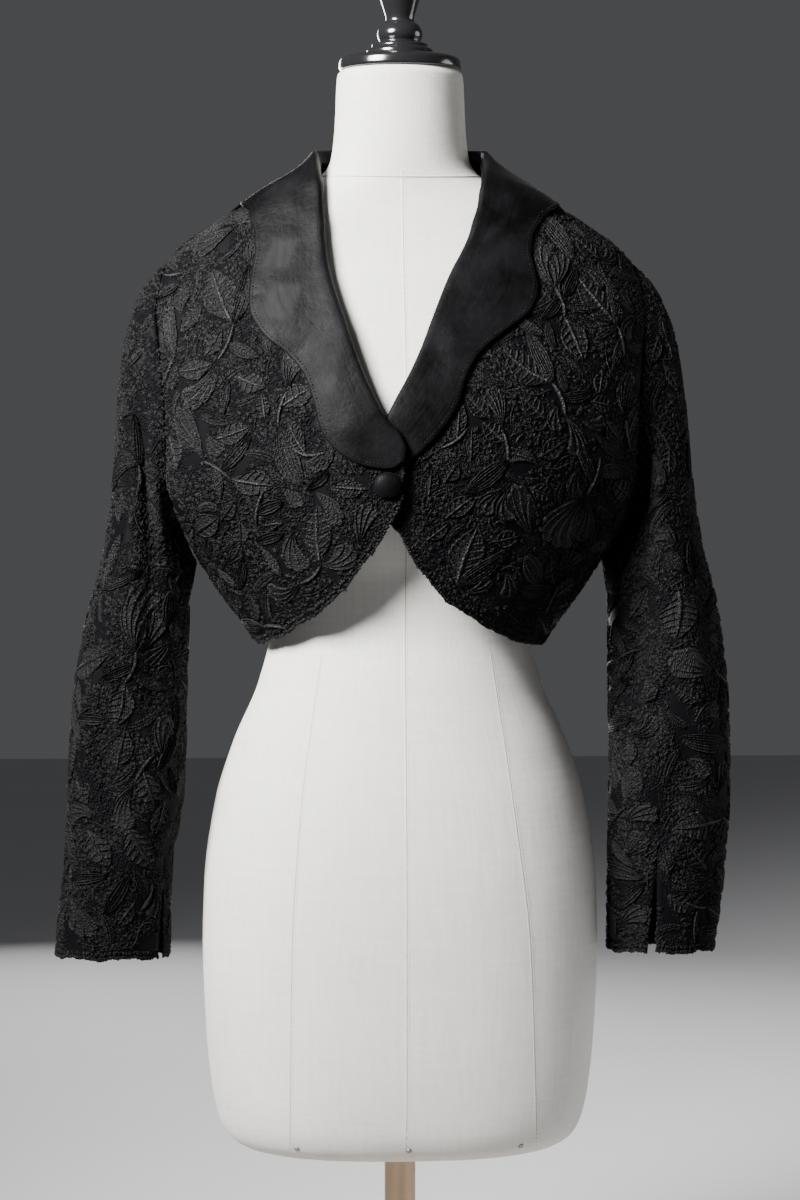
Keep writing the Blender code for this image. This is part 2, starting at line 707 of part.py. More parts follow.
def cloth_wall(name, at, columns, rows, thickness, size, leaves=(), joined_rows=None, finish="lace"):
    """A closed wall of cloth over a grid: a plain inner face, and an outer one with raised leaves.

    at(u, v, height) gives a point. joined_rows is the last row at which the two long edges meet.
    """
    u_steps = np.linspace(0, 1, columns + 1)
    v_steps = np.linspace(0, 1, rows + 1)
    grid = np.array([(u, v) for v in v_steps for u in u_steps])

    def number(column, row):
        if joined_rows is not None and row <= joined_rows and column == columns:
            column = 0
        return row * (columns + 1) + column

    inner = at(grid[:, 0], grid[:, 1], np.zeros(len(grid)))
    on_rim = (grid[:, 0] == 0) | (grid[:, 0] == 1) | (grid[:, 1] == 0) | (grid[:, 1] == 1)
    keep = np.ones(len(grid), bool)
    for base, _top, _middle in leaves:
        wide = base.mean(0) + (base - base.mean(0)) * 1.16
        keep &= ~inside(wide, grid) | on_rim
    kept = np.flatnonzero(keep)
    places = [tuple(grid[k]) for k in kept]
    heights = [thickness] * len(kept)
    grid_of = {int(k): n for n, k in enumerate(kept)}
    edges = []
    for base, top, middle in leaves:
        for loop, height in ((base, thickness), (top, thickness + LACE_HEIGHT)):
            start = len(places)
            places += [tuple(p) for p in loop]
            heights += [height] * len(loop)
            edges += [(start + k, start + (k + 1) % len(loop)) for k in range(len(loop))]
        places += [tuple(p) for p in middle]
        heights += [thickness + LACE_RIDGE] * len(middle)
        centre = len(places) - 1
        edges += [(centre, start), (centre, start + len(top) // 2)]
    scaled = [Vector((u * size[0], v * size[1])) for u, v in places]
    found = delaunay_2d_cdt(scaled, edges, [], 0, 1e-5)
    source = [ids[0] if ids else None for ids in found[3]]
    if None in source or len(found[0]) != len(places):
        raise ValueError(f"{name}: two leaves cross")
    places = np.array(places)
    outer = at(places[:, 0], places[:, 1], np.array(heights))

    mesh = bmesh.new()
    inner_points = [mesh.verts.new(p * MM) for p in raised(inner)]
    outer_points = [mesh.verts.new(p * MM) for p in raised(outer)]

    def outer_of(column, row):
        return outer_points[grid_of[number(column, row)]]

    def inner_of(column, row):
        return inner_points[number(column, row)]

    same = {}
    if joined_rows is not None:
        for row in range(joined_rows + 1):
            right_edge = row * (columns + 1) + columns
            same[grid_of[right_edge]] = grid_of[number(0, row)]
    for row in range(rows):
        for column in range(columns):
            mesh.faces.new(
                [
                    inner_of(column, row),
                    inner_of(column, row + 1),
                    inner_of(column + 1, row + 1),
                    inner_of(column + 1, row),
                ]
            )
    for face in found[2]:
        corners = [source[k] for k in face]
        mesh.faces.new([outer_points[same.get(k, k)] for k in corners])

    def rim(one, other):
        mesh.faces.new([outer_of(*other), outer_of(*one), inner_of(*one), inner_of(*other)])

    for column in range(columns):
        rim((column, 0), (column + 1, 0))
        rim((column + 1, rows), (column, rows))
    first_open = 0 if joined_rows is None else joined_rows
    for row in range(first_open, rows):
        rim((columns, row), (columns, row + 1))
        rim((0, row + 1), (0, row))
    loose = [vertex for vertex in mesh.verts if not vertex.link_faces]
    bmesh.ops.delete(mesh, geom=loose, context="VERTS")
    return add_object(name, mesh, finish)


def raised(points):
    return points + np.array([0.0, 0.0, FORM_FOOT_Z])


def add_object(name, mesh, finish):
    data = bpy.data.meshes.new(name)
    if mesh.calc_volume(signed=True) < 0:
        bmesh.ops.reverse_faces(mesh, faces=mesh.faces[:])
    mesh.to_mesh(data)
    mesh.free()
    piece = bpy.data.objects.new(name, data)
    PARTS.objects.link(piece)
    data.shade_smooth()
    data.set_sharp_from_angle(angle=math.radians(35))
    data.materials.append(material(finish))
    return piece


def material(finish):
    found = bpy.data.materials.get(finish)
    if found:
        return found
    colour, roughness = COLOURS[finish]
    found = bpy.data.materials.new(finish)
    found.use_nodes = True
    shader = found.node_tree.nodes["Principled BSDF"]
    shader.inputs["Base Color"].default_value = (*colour, 1.0)
    shader.inputs["Roughness"].default_value = roughness
    shader.inputs["Metallic"].default_value = 0.0
    return found


def make_form():
    """The limbless form: one loft of its rings, closed flat at the foot and the neck."""
    mesh = bmesh.new()
    loops = []
    for ring in FORM_RINGS:
        loop = []
        for k in range(FORM_SIDES):
            turn = 2 * math.pi * k / FORM_SIDES
            power = 2 / ring.squareness
            sine = math.copysign(abs(math.sin(turn)) ** power, math.sin(turn))
            cosine = math.copysign(abs(math.cos(turn)) ** power, math.cos(turn))
            depth = ring.front if cosine > 0 else ring.back
            place = Vector((ring.half_width * sine, -depth * cosine, ring.z + FORM_FOOT_Z))
            loop.append(mesh.verts.new(place * MM))
        loops.append(loop)
    for low, high in zip(loops, loops[1:]):
        for k in range(FORM_SIDES):
            after = (k + 1) % FORM_SIDES
            mesh.faces.new([low[k], low[after], high[after], high[k]])
    mesh.faces.new(list(reversed(loops[0])))
    mesh.faces.new(loops[-1])
    return add_object("dress_form", mesh, "linen")


def turned(name, profile, foot_z, finish, steps=32):
    """A turned piece: its outer side's radius and height, top to bottom, spun about the upright axis."""
    mesh = bmesh.new()
    points = [mesh.verts.new(Vector((radius, 0, z + foot_z)) * MM) for radius, z in profile]
    for one, other in zip(points, points[1:]):
        mesh.edges.new([one, other])
    data = bpy.data.meshes.new(name)
    mesh.to_mesh(data)
    mesh.free()
    piece = bpy.data.objects.new(name, data)
    PARTS.objects.link(piece)
    spin = piece.modifiers.new("spin", "SCREW")
    spin.steps = steps
    spin.render_steps = steps
    spin.use_merge_vertices = True
    spin.merge_threshold = 0.00002
    spin.use_smooth_shade = True
    data.materials.append(material(finish))
    return piece


def make_stand():
    base = [
        (0, BASE_HEIGHT),
        (30, BASE_HEIGHT),
        (120, 21),
        (158, 17),
        (169, 13),
        (BASE_RADIUS, 8),
        (171, 1.5),
        (168, 0),
        (0, 0),
    ]
    turned("stand_base", base, 0, "pale_wood", 36)
    top = FORM_FOOT_Z + FORM_RINGS[0].z - REST_GAP
    foot = BASE_HEIGHT + REST_GAP
    pole = [(0, top), (POLE_RADIUS, top), (POLE_RADIUS, foot), (0, foot)]
    turned("stand_pole", pole, 0, "pale_wood", 18)


def make_neck_cap():
    """The lacquered cap on the neck: a stepped disc, a ring and a vase-shaped knob."""
    profile = [
        (0, 108),
        (9, 107),
        (16.5, 102.5),
        (21.5, 95),
        (23, 86),
        (20, 70),
        (15.5, 56),
        (12.4, 46),
        (12.2, 41.5),
        (16.5, 39),
        (19.6, 33),
        (19.6, 28),
        (17, 24),
        (24, 22.5),
        (24.6, 19),
        (28.6, 17.8),
        (29, 13),
        (47, 11.5),
        (52, 9),
        (53, 2),
        (52, 0),
        (0, 0),
    ]
    turned("neck_cap", profile, FORM_FOOT_Z + FORM_HEIGHT + REST_GAP, "black_lacquer", 20)


def make_button():
    """A cloth-covered dome that stands on the right front, square to the cloth."""
    angle = float(angle_at(BUTTON_ACROSS, BUTTON_Z))
    place = body_point("right", angle, BUTTON_Z)
    beside = body_point("right", angle + 1, BUTTON_Z) - place
    above = body_point("right", angle, BUTTON_Z + 1) - place
    outward = Vector(unit(np.cross(above, beside)))
    if outward.y > 0:
        outward.negate()
    profile = [
        (0, BUTTON_HEIGHT),
        (4.5, BUTTON_HEIGHT - 0.5),
        (8, 4.9),
        (10.2, 3.2),
        (BUTTON_RADIUS, 1.7),
        (10.3, 0.6),
        (8.5, 0),
        (0, 0),
    ]
    piece = turned("button", profile, 0, "satin", 24)
    seat = Vector(raised(place)) + outward * (CLOTH + BUTTON_SEAT)
    piece.location = seat * MM
    piece.rotation_euler = outward.to_track_quat("Z", "Y").to_euler()


def collar_routes(side):
    """Curves by station of the roll's and the edge's angle and height, and of the stand."""
    rows = [
        (angle_at(s.roll_across, s.roll_z), s.roll_z, angle_at(s.edge_across, s.edge_z), s.edge_z, s.stand)
        for s in COLLAR_FRONT[side]
    ]
    rows += [tuple(station) for station in COLLAR_BACK]
    columns = np.array(rows, float).T
    places = body_point(side, columns[0], columns[1])
    edges = body_point(side, columns[2], columns[3])
    run = np.linalg.norm(np.diff((places + edges) / 2, axis=0), axis=1)
    share = np.concatenate([[0.0], np.cumsum(run)])
    share = share / share[-1]
    return [Curve(share, column) for column in columns]


def collar_surface(side):
    """u runs from the front tip to the nape, v from the stand's seam over the roll to the edge."""
    roll_angle, roll_z, edge_angle, edge_z, stand = collar_routes(side)
    stand_share = STAND_STEPS / (STAND_STEPS + FALL_STEPS)

    def point(u, v):
        u, v = np.broadcast_arrays(np.asarray(u, float), np.asarray(v, float))
        low = CLOTH + COLLAR_CLEARANCE + COLLAR_BACK_EASE * smoothstep(u, 0.5, 0.75)
        on_fall = np.clip((v - stand_share) / (1 - stand_share), 0.0, 1.0)
        on_stand = np.clip(v / stand_share, 0.0, 1.0)
        angle = roll_angle(u) + (edge_angle(u) - roll_angle(u)) * on_fall
        z = roll_z(u) + (edge_z(u) - roll_z(u)) * on_fall
        place = body_point(side, angle, z)
        step = 0.5
        beside = body_point(side, angle + step, z) - body_point(side, angle - step, z)
        above = body_point(side, angle, z + step) - body_point(side, angle, z - step)
        outward = unit(np.cross(beside, above)) * SIGN[side]
        upright = smoothstep(roll_z(u), 770, 835)[..., None] * 0.8
        lift_way = unit(outward * (1 - upright) + np.array([0.0, 0.0, 1.0]) * upright)
        height = stand(u) + low - 2.6
        fall = low + (height - low) * (1 - on_fall**2.4)
        lift = np.where(v < stand_share, height * on_stand, fall)
        back_stand = smoothstep(roll_z(u), 780, 845)
        lean = back_stand * (1 - on_stand) * 1.5
        flat_out = outward * np.array([1.0, 1.0, 0.0])
        return place + lift_way * lift[..., None] - flat_out * lean[..., None]

    return point


def collar_outline(side):
    """The collar's footprint on the front, as distance across and height."""
    rows = COLLAR_FRONT[side]
    edge = [(row.edge_across + 7, row.edge_z - 7) for row in rows]
    return np.array([*edge, (150, 846), (40, 880), (-60, 880), (-60, 600)])


def make_fronts():
    for side in ("right", "left"):
        point = front_surface(side)
        at = outer_face(point, SIGN[side], square_to_side_line)
        footprint = collar_outline(side)

        def allowed(base):
            places = point(base[:, 0], base[:, 1])
            flat = np.stack([places[:, 0] * SIGN[side], places[:, 2]], axis=-1)
            to_button = np.hypot(flat[:, 0] - BUTTON_ACROSS, flat[:, 1] - BUTTON_Z).min()
            off_button = to_button > BUTTON_RADIUS + LEAF_MARGIN
            on_lap = side == "left" and (flat[:, 0] < 22).any()
            return not inside(footprint, flat).any() and off_button and not on_lap

        size = (190.0, 340.0)
        leaves = lay_sprigs(point, size, SPRIG_SEEDS[f"front_{side}"], allowed)
        cloth_wall(f"front_{side}", at, FRONT_COLUMNS, PANEL_ROWS, CLOTH, size, leaves)


def make_back():
    point = back_surface()
    at = outer_face(point, 1.0, square_to_side_line)

    def allowed(base):
        places = point(base[:, 0], base[:, 1])
        return bool((places[:, 2] < 795).all())

    size = (400.0, 380.0)
    leaves = lay_sprigs(point, size, SPRIG_SEEDS["back"], allowed)
    cloth_wall("back", at, 2 * BACK_HALF_COLUMNS, PANEL_ROWS, CLOTH, size, leaves)


def make_sleeves():
    rows = SLEEVE_CAP_ROWS + SLEEVE_HANG_ROWS
    for side in ("right", "left"):
        point = sleeve_surface(side, rows)
        start = SLIT_COLUMN[side] / (2 * ARMHOLE_STEPS)

        def at_seam(u, v, place, normal):
            around = start + u
            crown = (1 - np.cos(2 * math.pi * around)) / 2
            share = (1 - smoothstep(v, 0.0, 0.05)) * smoothstep(crown, 0.06, 0.35)
            z = UNDERARM_Z + (SHOULDER_TIP_Z - UNDERARM_Z) * crown
            back_half = (around % 1.0) > 0.5
            angle = 90 + np.where(back_half, 1.0, -1.0) * armhole_angle(z)
            beside = body_point("left", angle + 0.5, z) - body_point("left", angle - 0.5, z)
            above = body_point("left", angle, z + 0.5) - body_point("left", angle, z - 0.5)
            body_normal = unit(np.cross(beside, above)) * np.array([SIGN[side], 1.0, 1.0])
            return unit(normal * (1 - share[..., None]) + body_normal * share[..., None])

        at = outer_face(point, -SIGN[side], at_seam)
        cuff_z = SLEEVE_RINGS[side][-1].z
        hang_step = (SLEEVE_RINGS[side][0].z - cuff_z) / SLEEVE_HANG_ROWS
        slit_rows = int(round(SLIT_LENGTH / hang_step))
        size = (300.0, 560.0)

        def allowed(base):
            return bool((base[:, 1] > 0.06).all())

        leaves = lay_sprigs(point, size, SPRIG_SEEDS[f"sleeve_{side}"], allowed)
        cloth_wall(
            f"sleeve_{side}", at, 2 * ARMHOLE_STEPS, rows, CLOTH, size, leaves, joined_rows=rows - slit_rows
        )


def make_collar():
    for side in ("right", "left"):
        point = collar_surface(side)
        at = outer_face(point, -SIGN[side])
        cloth_wall(
            f"collar_{side}",
            at,
            COLLAR_COLUMNS,
            STAND_STEPS + FALL_STEPS,
            COLLAR_CLOTH,
            (330.0, 80.0),
            finish="satin",
        )


for old in list(bpy.data.objects):
    bpy.data.objects.remove(old, do_unlink=True)
PARTS = bpy.data.collections.new("bolero_jacket_on_dress_form")
bpy.context.scene.collection.children.link(PARTS)

make_stand()
make_form()
make_neck_cap()
make_fronts()
make_back()
make_sleeves()
make_collar()
make_button()
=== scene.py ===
"""Dresses a black lace bolero on its limbless form: panels of raised leaf lace, a scalloped satin
shawl collar, a covered button, a linen form with its seams, its lacquered knob and its stand.

Sizes in the tables are millimetres above the lower end of the form, X to the wearer's left and -Y
to the front. Each panel is a smooth surface of u and v, and the lace is laid on it by the same two
numbers, so leaves, ferns and knots bend with the cloth.
"""

import math
from collections import namedtuple
from itertools import islice

import bmesh
import bpy
import numpy as np
from bpy.props import (
    FloatProperty,
    FloatVectorProperty,
    IntProperty,
    PointerProperty,
)
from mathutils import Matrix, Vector


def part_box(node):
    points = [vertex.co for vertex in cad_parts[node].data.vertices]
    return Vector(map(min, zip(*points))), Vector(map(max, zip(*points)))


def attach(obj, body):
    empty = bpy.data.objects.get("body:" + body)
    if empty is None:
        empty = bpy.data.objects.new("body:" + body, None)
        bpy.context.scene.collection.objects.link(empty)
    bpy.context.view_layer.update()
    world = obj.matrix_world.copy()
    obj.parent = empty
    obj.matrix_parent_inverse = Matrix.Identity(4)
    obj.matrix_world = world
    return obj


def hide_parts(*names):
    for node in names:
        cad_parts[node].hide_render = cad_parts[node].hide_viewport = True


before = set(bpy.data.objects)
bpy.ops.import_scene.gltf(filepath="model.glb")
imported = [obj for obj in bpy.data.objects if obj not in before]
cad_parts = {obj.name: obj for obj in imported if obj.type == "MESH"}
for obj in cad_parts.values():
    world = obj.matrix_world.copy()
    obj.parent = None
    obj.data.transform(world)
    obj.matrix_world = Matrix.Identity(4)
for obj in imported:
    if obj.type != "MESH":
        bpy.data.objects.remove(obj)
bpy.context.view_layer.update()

bl_info = {
    "name": "Lace bolero on a dress form",
    "version": (1, 0, 0),
    "blender": (4, 5, 0),
    "location": "3D View > Sidebar > Bolero",
    "description": "Dresses a cropped lace jacket and the form and stand that carry it",
    "category": "Object",
}

MM = 0.001
BODY = "root"
WELD_DISTANCE = 0.00002

# Heights of the form and jacket, from the frame
FORM_FOOT_Z = 200.0
SIDE_HEM_Z = 461.0
UNDERARM_Z = 527.0
SHOULDER_TIP_Z = 783.0
NECK_POINT_Z = 861.0
NAPE_Z = 868.0
BACK_HEM_Z = 457.0
ARMHOLE_HALF_ANGLE = 21.5
SEAM_GAP = 0.4
SLEEVE_SEAM_GAP = 1.5
UNDERARM_EASE = 4.6
COLLAR_CLEARANCE = 1.5
COLLAR_BACK_EASE = 0.9
CLOTH = 2.0
LAP_LIFT = 6.2
LAP_FULL_X = 45.0
LAP_NONE_X = 88.0
SIDE_SHARE = 0.2
SIGN = {"right": -1.0, "left": 1.0}


def table(kind, *rows):
    """The rows of a table, each as a named tuple."""
    return [kind(*row) for row in rows]


JacketRing = namedtuple("JacketRing", "z half_width front back")
JACKET_RINGS = table(
    JacketRing,
    (440, 116, 102, 93), (461, 126, 107, 93), (480, 139, 111, 94), (500, 154, 115, 96),
    (527, 172, 120, 98), (550, 188, 124, 101), (575, 202, 128, 103), (605, 212, 130, 106),
    (650, 217, 125, 109), (700, 219, 108, 111), (737, 217, 92, 110), (765, 209, 79, 104),
    (783, 200, 70.5, 98), (797, 188, 65, 92), (811, 168, 61, 86.5), (823, 150, 58, 81.5),
    (833, 130, 56, 76.5), (842, 110, 55, 71.5), (851, 91, 55, 67.5), (861, 77, 57, 65),
    (870, 70.5, 59, 64.5), (880, 69, 60, 64),
)

EdgePoint = namedtuple("EdgePoint", "across z")
NECK_EDGE = {
    "right": table(
        EdgePoint,
        (3, 612), (9, 626), (22, 647), (33, 667), (44, 692), (58, 742), (67, 772), (70.5, 800),
        (71.5, 828), (74, 846),
    ),
    "left": table(
        EdgePoint,
        (-33, 612), (-27, 626), (-15, 647), (-3, 669), (9, 690), (28, 734), (42, 769), (56, 796),
        (65, 824), (74, 846),
    ),
}
HEM_EDGE = {
    "right": table(
        EdgePoint,
        (3, 612), (4, 590), (9, 572), (22, 549), (42, 521), (64, 494), (90, 475), (111, 462),
        (121, 458),
    ),
    "left": table(
        EdgePoint,
        (-33, 612), (-31, 590), (-24, 573), (-9, 555), (8, 527), (30, 500), (58, 480), (90, 463),
        (116, 456.5),
    ),
}

FrontStation = namedtuple("FrontStation", "roll_across roll_z edge_across edge_z stand")
COLLAR_FRONT = {
    "right": table(
        FrontStation,
        (3, 624, 4, 614, 3), (9, 637, 16, 607.5, 3), (19, 647, 33, 609.5, 3), (28, 664, 52, 618, 3),
        (35, 679, 69, 637, 3), (42, 697, 75.5, 661, 3), (48, 716, 82, 681, 3),
        (52, 730, 98, 702.5, 3.5), (57, 746, 118, 719, 4), (61.5, 762, 128.5, 739, 4.5),
        (65, 779, 129, 756, 5), (66.5, 793, 124.5, 784, 5.5), (67.5, 808, 124.5, 801, 6),
        (69, 824, 128, 815, 7), (69.5, 842, 130.5, 825, 8.5),
    ),
    "left": table(
        FrontStation,
        (-33, 624, -33, 615, 3), (-27, 637, -22, 609, 3), (-18, 647, -3, 613, 3),
        (-7, 667, 18, 629, 3), (1, 681, 32, 646, 3), (9, 697, 41, 661, 3), (16, 713, 48, 683, 3),
        (21, 726, 60, 703, 3.5), (27, 741, 85, 724, 4), (34, 758, 104, 740, 4.5),
        (41, 773, 111, 762, 5), (49, 787, 106.5, 786, 5.5), (56, 801, 108, 801, 6),
        (62, 818, 115, 813, 7), (67, 839, 123, 822, 8.5),
    ),
}
BackStation = namedtuple("BackStation", "roll_angle roll_z edge_angle edge_z stand")
COLLAR_BACK = table(
    BackStation,
    (90, 869, 90, 830, 11.5), (112, 871, 108, 821, 12.5), (135, 873, 131, 815, 13),
    (158, 874.5, 155, 811, 13.5), (179.7, 875, 179.9, 809, 13.5),
)
STAND_SHARE = 1 / 7

SleeveRing = namedtuple("SleeveRing", "z inner outer forward half_depth")
SLEEVE_RINGS = {
    "right": table(
        SleeveRing,
        (500, 184, 263, 2, 53), (450, 186, 274, 4, 52), (406, 187, 281, 7, 49),
        (363, 188, 284, 11, 46), (319, 190.5, 286.5, 15, 42), (276, 199, 289.5, 18, 37),
        (232, 201, 293.5, 19, 33), (188, 202, 297, 19, 31),
    ),
    "left": table(
        SleeveRing,
        (500, 183.5, 271, 2, 53), (450, 183.5, 279, 4, 52), (406, 183.5, 284, 7, 49),
        (363, 184, 285, 11, 46), (319, 183, 284.5, 15, 42), (276, 182, 282, 18, 37),
        (232, 181, 277, 19, 33), (190, 181, 271, 19, 31),
    ),
}
SLIT_START = {"right": 2 / 24, "left": 5 / 24}
SLIT_LENGTH = 88.0
SLIT_OPENING = 5.0
CAP_SHARE = 7 / 20

Fold = namedtuple("Fold", "at z slant half_width half_length height")
BODY_FOLDS = table(
    Fold,
    (62, 560, 0.10, 9, 60, 5.0), (48, 520, 0.05, 8, 48, -4.0), (34, 510, 0.03, 9, 42, 4.0),
    (128, 560, 0.08, 11, 80, 5.0), (148, 540, 0.03, 9, 70, -4.0), (167, 545, 0.00, 8, 75, 3.5),
    (72, 640, 0.06, 6, 60, -2.2), (55, 700, -0.12, 5, 50, 1.6), (66, 745, -0.10, 4, 40, -1.6),
    (22, 545, 0.02, 5, 30, 1.2), (112, 690, 0.06, 6, 80, -2.0), (140, 720, -0.04, 7, 60, 1.8),
)
SLEEVE_FOLDS = table(
    Fold,
    (0.27, 600, 0.0004, 0.035, 75, -8.0), (0.20, 470, 0.0004, 0.040, 80, -6.5),
    (0.36, 430, -0.0003, 0.045, 90, 5.0), (0.30, 330, 0.0006, 0.050, 45, -5.5),
    (0.16, 370, -0.0005, 0.045, 60, 5.0), (0.62, 560, 0.0003, 0.040, 85, -6.0),
    (0.78, 470, -0.0003, 0.045, 90, -5.5), (0.70, 350, 0.0005, 0.050, 60, 5.0),
    (0.45, 250, 0.0005, 0.060, 50, -4.0), (0.33, 560, -0.0006, 0.018, 45, 2.4),
    (0.24, 395, 0.0012, 0.016, 35, -2.6), (0.40, 300, -0.0010, 0.018, 38, -2.4),
    (0.28, 260, 0.0011, 0.016, 30, 2.2), (0.52, 480, 0.0004, 0.020, 60, 2.0),
    (0.86, 420, 0.0008, 0.018, 45, 2.4), (0.10, 300, -0.0009, 0.018, 35, 2.2),
)
SLEEVE_FOLD_SHIFT = {"right": 0.0, "left": 0.05}

# Soft dents and creases of the satin, by the collar's own u and v
Crease = namedtuple("Crease", "u v slant half_width half_length height")
COLLAR_CREASES = {
    "right": table(
        Crease,
        (0.10, 0.60, 0.10, 0.030, 0.30, 1.1), (0.20, 0.55, -0.12, 0.030, 0.30, 0.9),
        (0.33, 0.60, 0.10, 0.045, 0.35, 1.0), (0.45, 0.55, -0.08, 0.030, 0.30, 0.8),
        (0.56, 0.45, 0.16, 0.022, 0.35, 1.1), (0.63, 0.60, 0.10, 0.020, 0.35, 1.0),
    ),
    "left": table(
        Crease,
        (0.12, 0.55, 0.10, 0.030, 0.30, 0.9), (0.26, 0.60, -0.10, 0.035, 0.30, 1.0),
        (0.44, 0.50, 0.12, 0.030, 0.35, 1.2), (0.52, 0.55, 0.20, 0.018, 0.40, 1.5),
        (0.57, 0.55, 0.14, 0.014, 0.40, 1.4), (0.62, 0.60, 0.08, 0.014, 0.40, 1.3),
        (0.67, 0.60, 0.02, 0.016, 0.40, 1.1),
    ),
}


def number_property(name, description, default, unit="LENGTH"):
    return FloatProperty(name=name, description=description, default=default, unit=unit)


def colour_property(name, description, default):
    return FloatVectorProperty(
        name=name, description=description, subtype="COLOR", size=3, min=0.0, max=1.0, default=default
    )


class BoleroSizes(bpy.types.PropertyGroup):
    """Sizes that a user would change."""

    cloth: number_property("Ground cloth", "Thickness of the smooth cloth under the lace", 0.0012)
    satin: number_property("Collar", "Thickness of the folded satin collar", 0.0017)
    sprig_spacing: number_property("Sprig spacing", "Distance between centres of large sprigs", 0.078)
    leaf_height: number_property("Leaf height", "How far a leaf's ribs stand off the cloth", 0.0019)
    knot: number_property("Knot", "Width of one knot of thread", 0.0026)
    knot_steps: IntProperty(
        name="Knot sides", description="Sides of each small knot of thread", default=6, min=4, max=12
    )
    seed: IntProperty(name="Layout", description="Which layout of the lace to draw", default=5)


class BoleroColours(bpy.types.PropertyGroup):
    """Colours that a user would change."""

    ground: colour_property("Ground cloth", "Blue-black cloth under the lace", (0.0010, 0.0010, 0.0015))
    # The two ends of the lace's painted light: the first is the thread at its painted highlights on ribs and
    # cords, the second is the painted shade in the hollows between them
    thread: colour_property("Lace thread", "Lit tops of the embroidery", (0.0108, 0.0107, 0.0110))
    thread_hollow_shade: colour_property("Lace hollows", "Hollows between the ribs", (0.0005, 0.0005, 0.00055))
    satin: colour_property("Satin", "Collar and button", (0.0018, 0.0017, 0.0019))
    linen: colour_property("Linen", "Cover of the form", (0.76, 0.74, 0.69))
    lacquer: colour_property("Lacquer", "Knob on the neck", (0.006, 0.006, 0.0065))
    wood: colour_property("Wood", "Pole and base", (0.55, 0.41, 0.28))


class BoleroView(bpy.types.PropertyGroup):
    """The camera and the light."""

    azimuth: number_property("Azimuth", "Camera's turn from the front", math.radians(-3.0), "ROTATION")
    elevation: number_property("Elevation", "Camera's height angle", math.radians(2.5), "ROTATION")
    distance: number_property("Distance", "From the form's axis to the camera", 2.8)
    target_z: number_property("Target height", "Height that the camera looks at", 0.693)
    field: number_property("Field", "Upright angle of view", math.radians(21.1), "ROTATION")
    key_power: number_property("Key light", "Power of the large light", 46.0, "POWER")
    fill_power: number_property("Fill light", "Power of the light at the far side", 9.0, "POWER")
    back_power: number_property("Back light", "Power of the light behind", 32.0, "POWER")


class Curve:
    """A smooth curve through points with rising positions, with no overshoot between them."""

    def __init__(self, positions, values):
        self.positions = np.asarray(positions, float)
        self.values = np.asarray(values, float)
        step = np.diff(self.positions)
        slope = np.diff(self.values) / step
        self.tangent = np.empty_like(self.values)
        self.tangent[0] = slope[0]
        self.tangent[-1] = slope[-1]
        before = slope[:-1]
        after = slope[1:]
        same_way = before * after > 0
        total = np.where(same_way, before + after, 1.0)
        self.tangent[1:-1] = np.where(same_way, 2 * before * after / total, 0.0)

    def __call__(self, at):
        at = np.clip(at, self.positions[0], self.positions[-1])
        left = np.clip(np.searchsorted(self.positions, at) - 1, 0, len(self.positions) - 2)
        width = self.positions[left + 1] - self.positions[left]
        t = (at - self.positions[left]) / width
        start_weight = (1 + 2 * t) * (1 - t) ** 2
        end_weight = t * t * (3 - 2 * t)
        bend = t * (1 - t) ** 2 * self.tangent[left] - t * t * (1 - t) * self.tangent[left + 1]
        return start_weight * self.values[left] + end_weight * self.values[left + 1] + width * bend


def rising_columns(rows):
    """One Curve for each column of a table whose first column is the height."""
    ordered = sorted(rows, key=lambda row: row.z)
    heights = [row.z for row in ordered]
    names = [name for name in rows[0]._fields if name != "z"]
    return {name: Curve(heights, [getattr(row, name) for row in ordered]) for name in names}


JACKET_SHAPE = rising_columns(JACKET_RINGS)
SLEEVE_SHAPE = {side: rising_columns(rows) for side, rows in SLEEVE_RINGS.items()}


def smoothstep(value, low, high):
    t = np.clip((value - low) / (high - low), 0.0, 1.0)
    return t * t * (3 - 2 * t)


def unit(vectors):
    return vectors / np.maximum(np.linalg.norm(vectors, axis=-1, keepdims=True), 1e-9)


def fold_height(folds, at, z):
    """Height of the folds at places given by the table's own at and height."""
    total = np.zeros(np.broadcast(at, z).shape)
    for fold in folds:
        away = (at - fold.at - fold.slant * (z - fold.z)) / fold.half_width
        along = (z - fold.z) / fold.half_length
        total = total + fold.height * np.exp(-(away**2) - along**2)
    return total


def half_depth(angle, z):
    front_side = np.cos(np.radians(angle)) > 0
    return np.where(front_side, JACKET_SHAPE["front"](z), JACKET_SHAPE["back"](z))


def body_point(side, angle, z):
    """A point of the jacket body's inner surface. The angle runs from the front centre to the nape."""
    angle, z = np.broadcast_arrays(np.asarray(angle, float), np.asarray(z, float))
    turn = np.radians(angle)
    half_width = JACKET_SHAPE["half_width"](z)
    depth = half_depth(angle, z)
    across = half_width * np.sin(turn)
    y = -depth * np.cos(turn)
    outward = unit(np.stack([across / half_width**2, y / depth**2], axis=-1))
    fold = fold_height(BODY_FOLDS, angle, z)
    across = across + outward[..., 0] * fold
    y = y + outward[..., 1] * fold
    if side == "right":
        at_front = np.cos(turn) > 0
        y = y - np.where(at_front, LAP_LIFT * smoothstep(-across, -LAP_NONE_X, -LAP_FULL_X), 0.0)
    return np.stack([SIGN[side] * across, y, z], axis=-1)


def angle_at(across, z):
    """The angle of a front point, from its distance across and its height."""
    return np.degrees(np.arcsin(np.clip(across / JACKET_SHAPE["half_width"](z), -1, 1)))


def armhole_angle(z):
    """How far each armhole edge lies from the side line, in degrees."""
    share = np.clip((z - UNDERARM_Z) / (SHOULDER_TIP_Z - UNDERARM_Z), 0.0, 1.0)
    return ARMHOLE_HALF_ANGLE * np.sqrt(np.sin(math.pi * share))


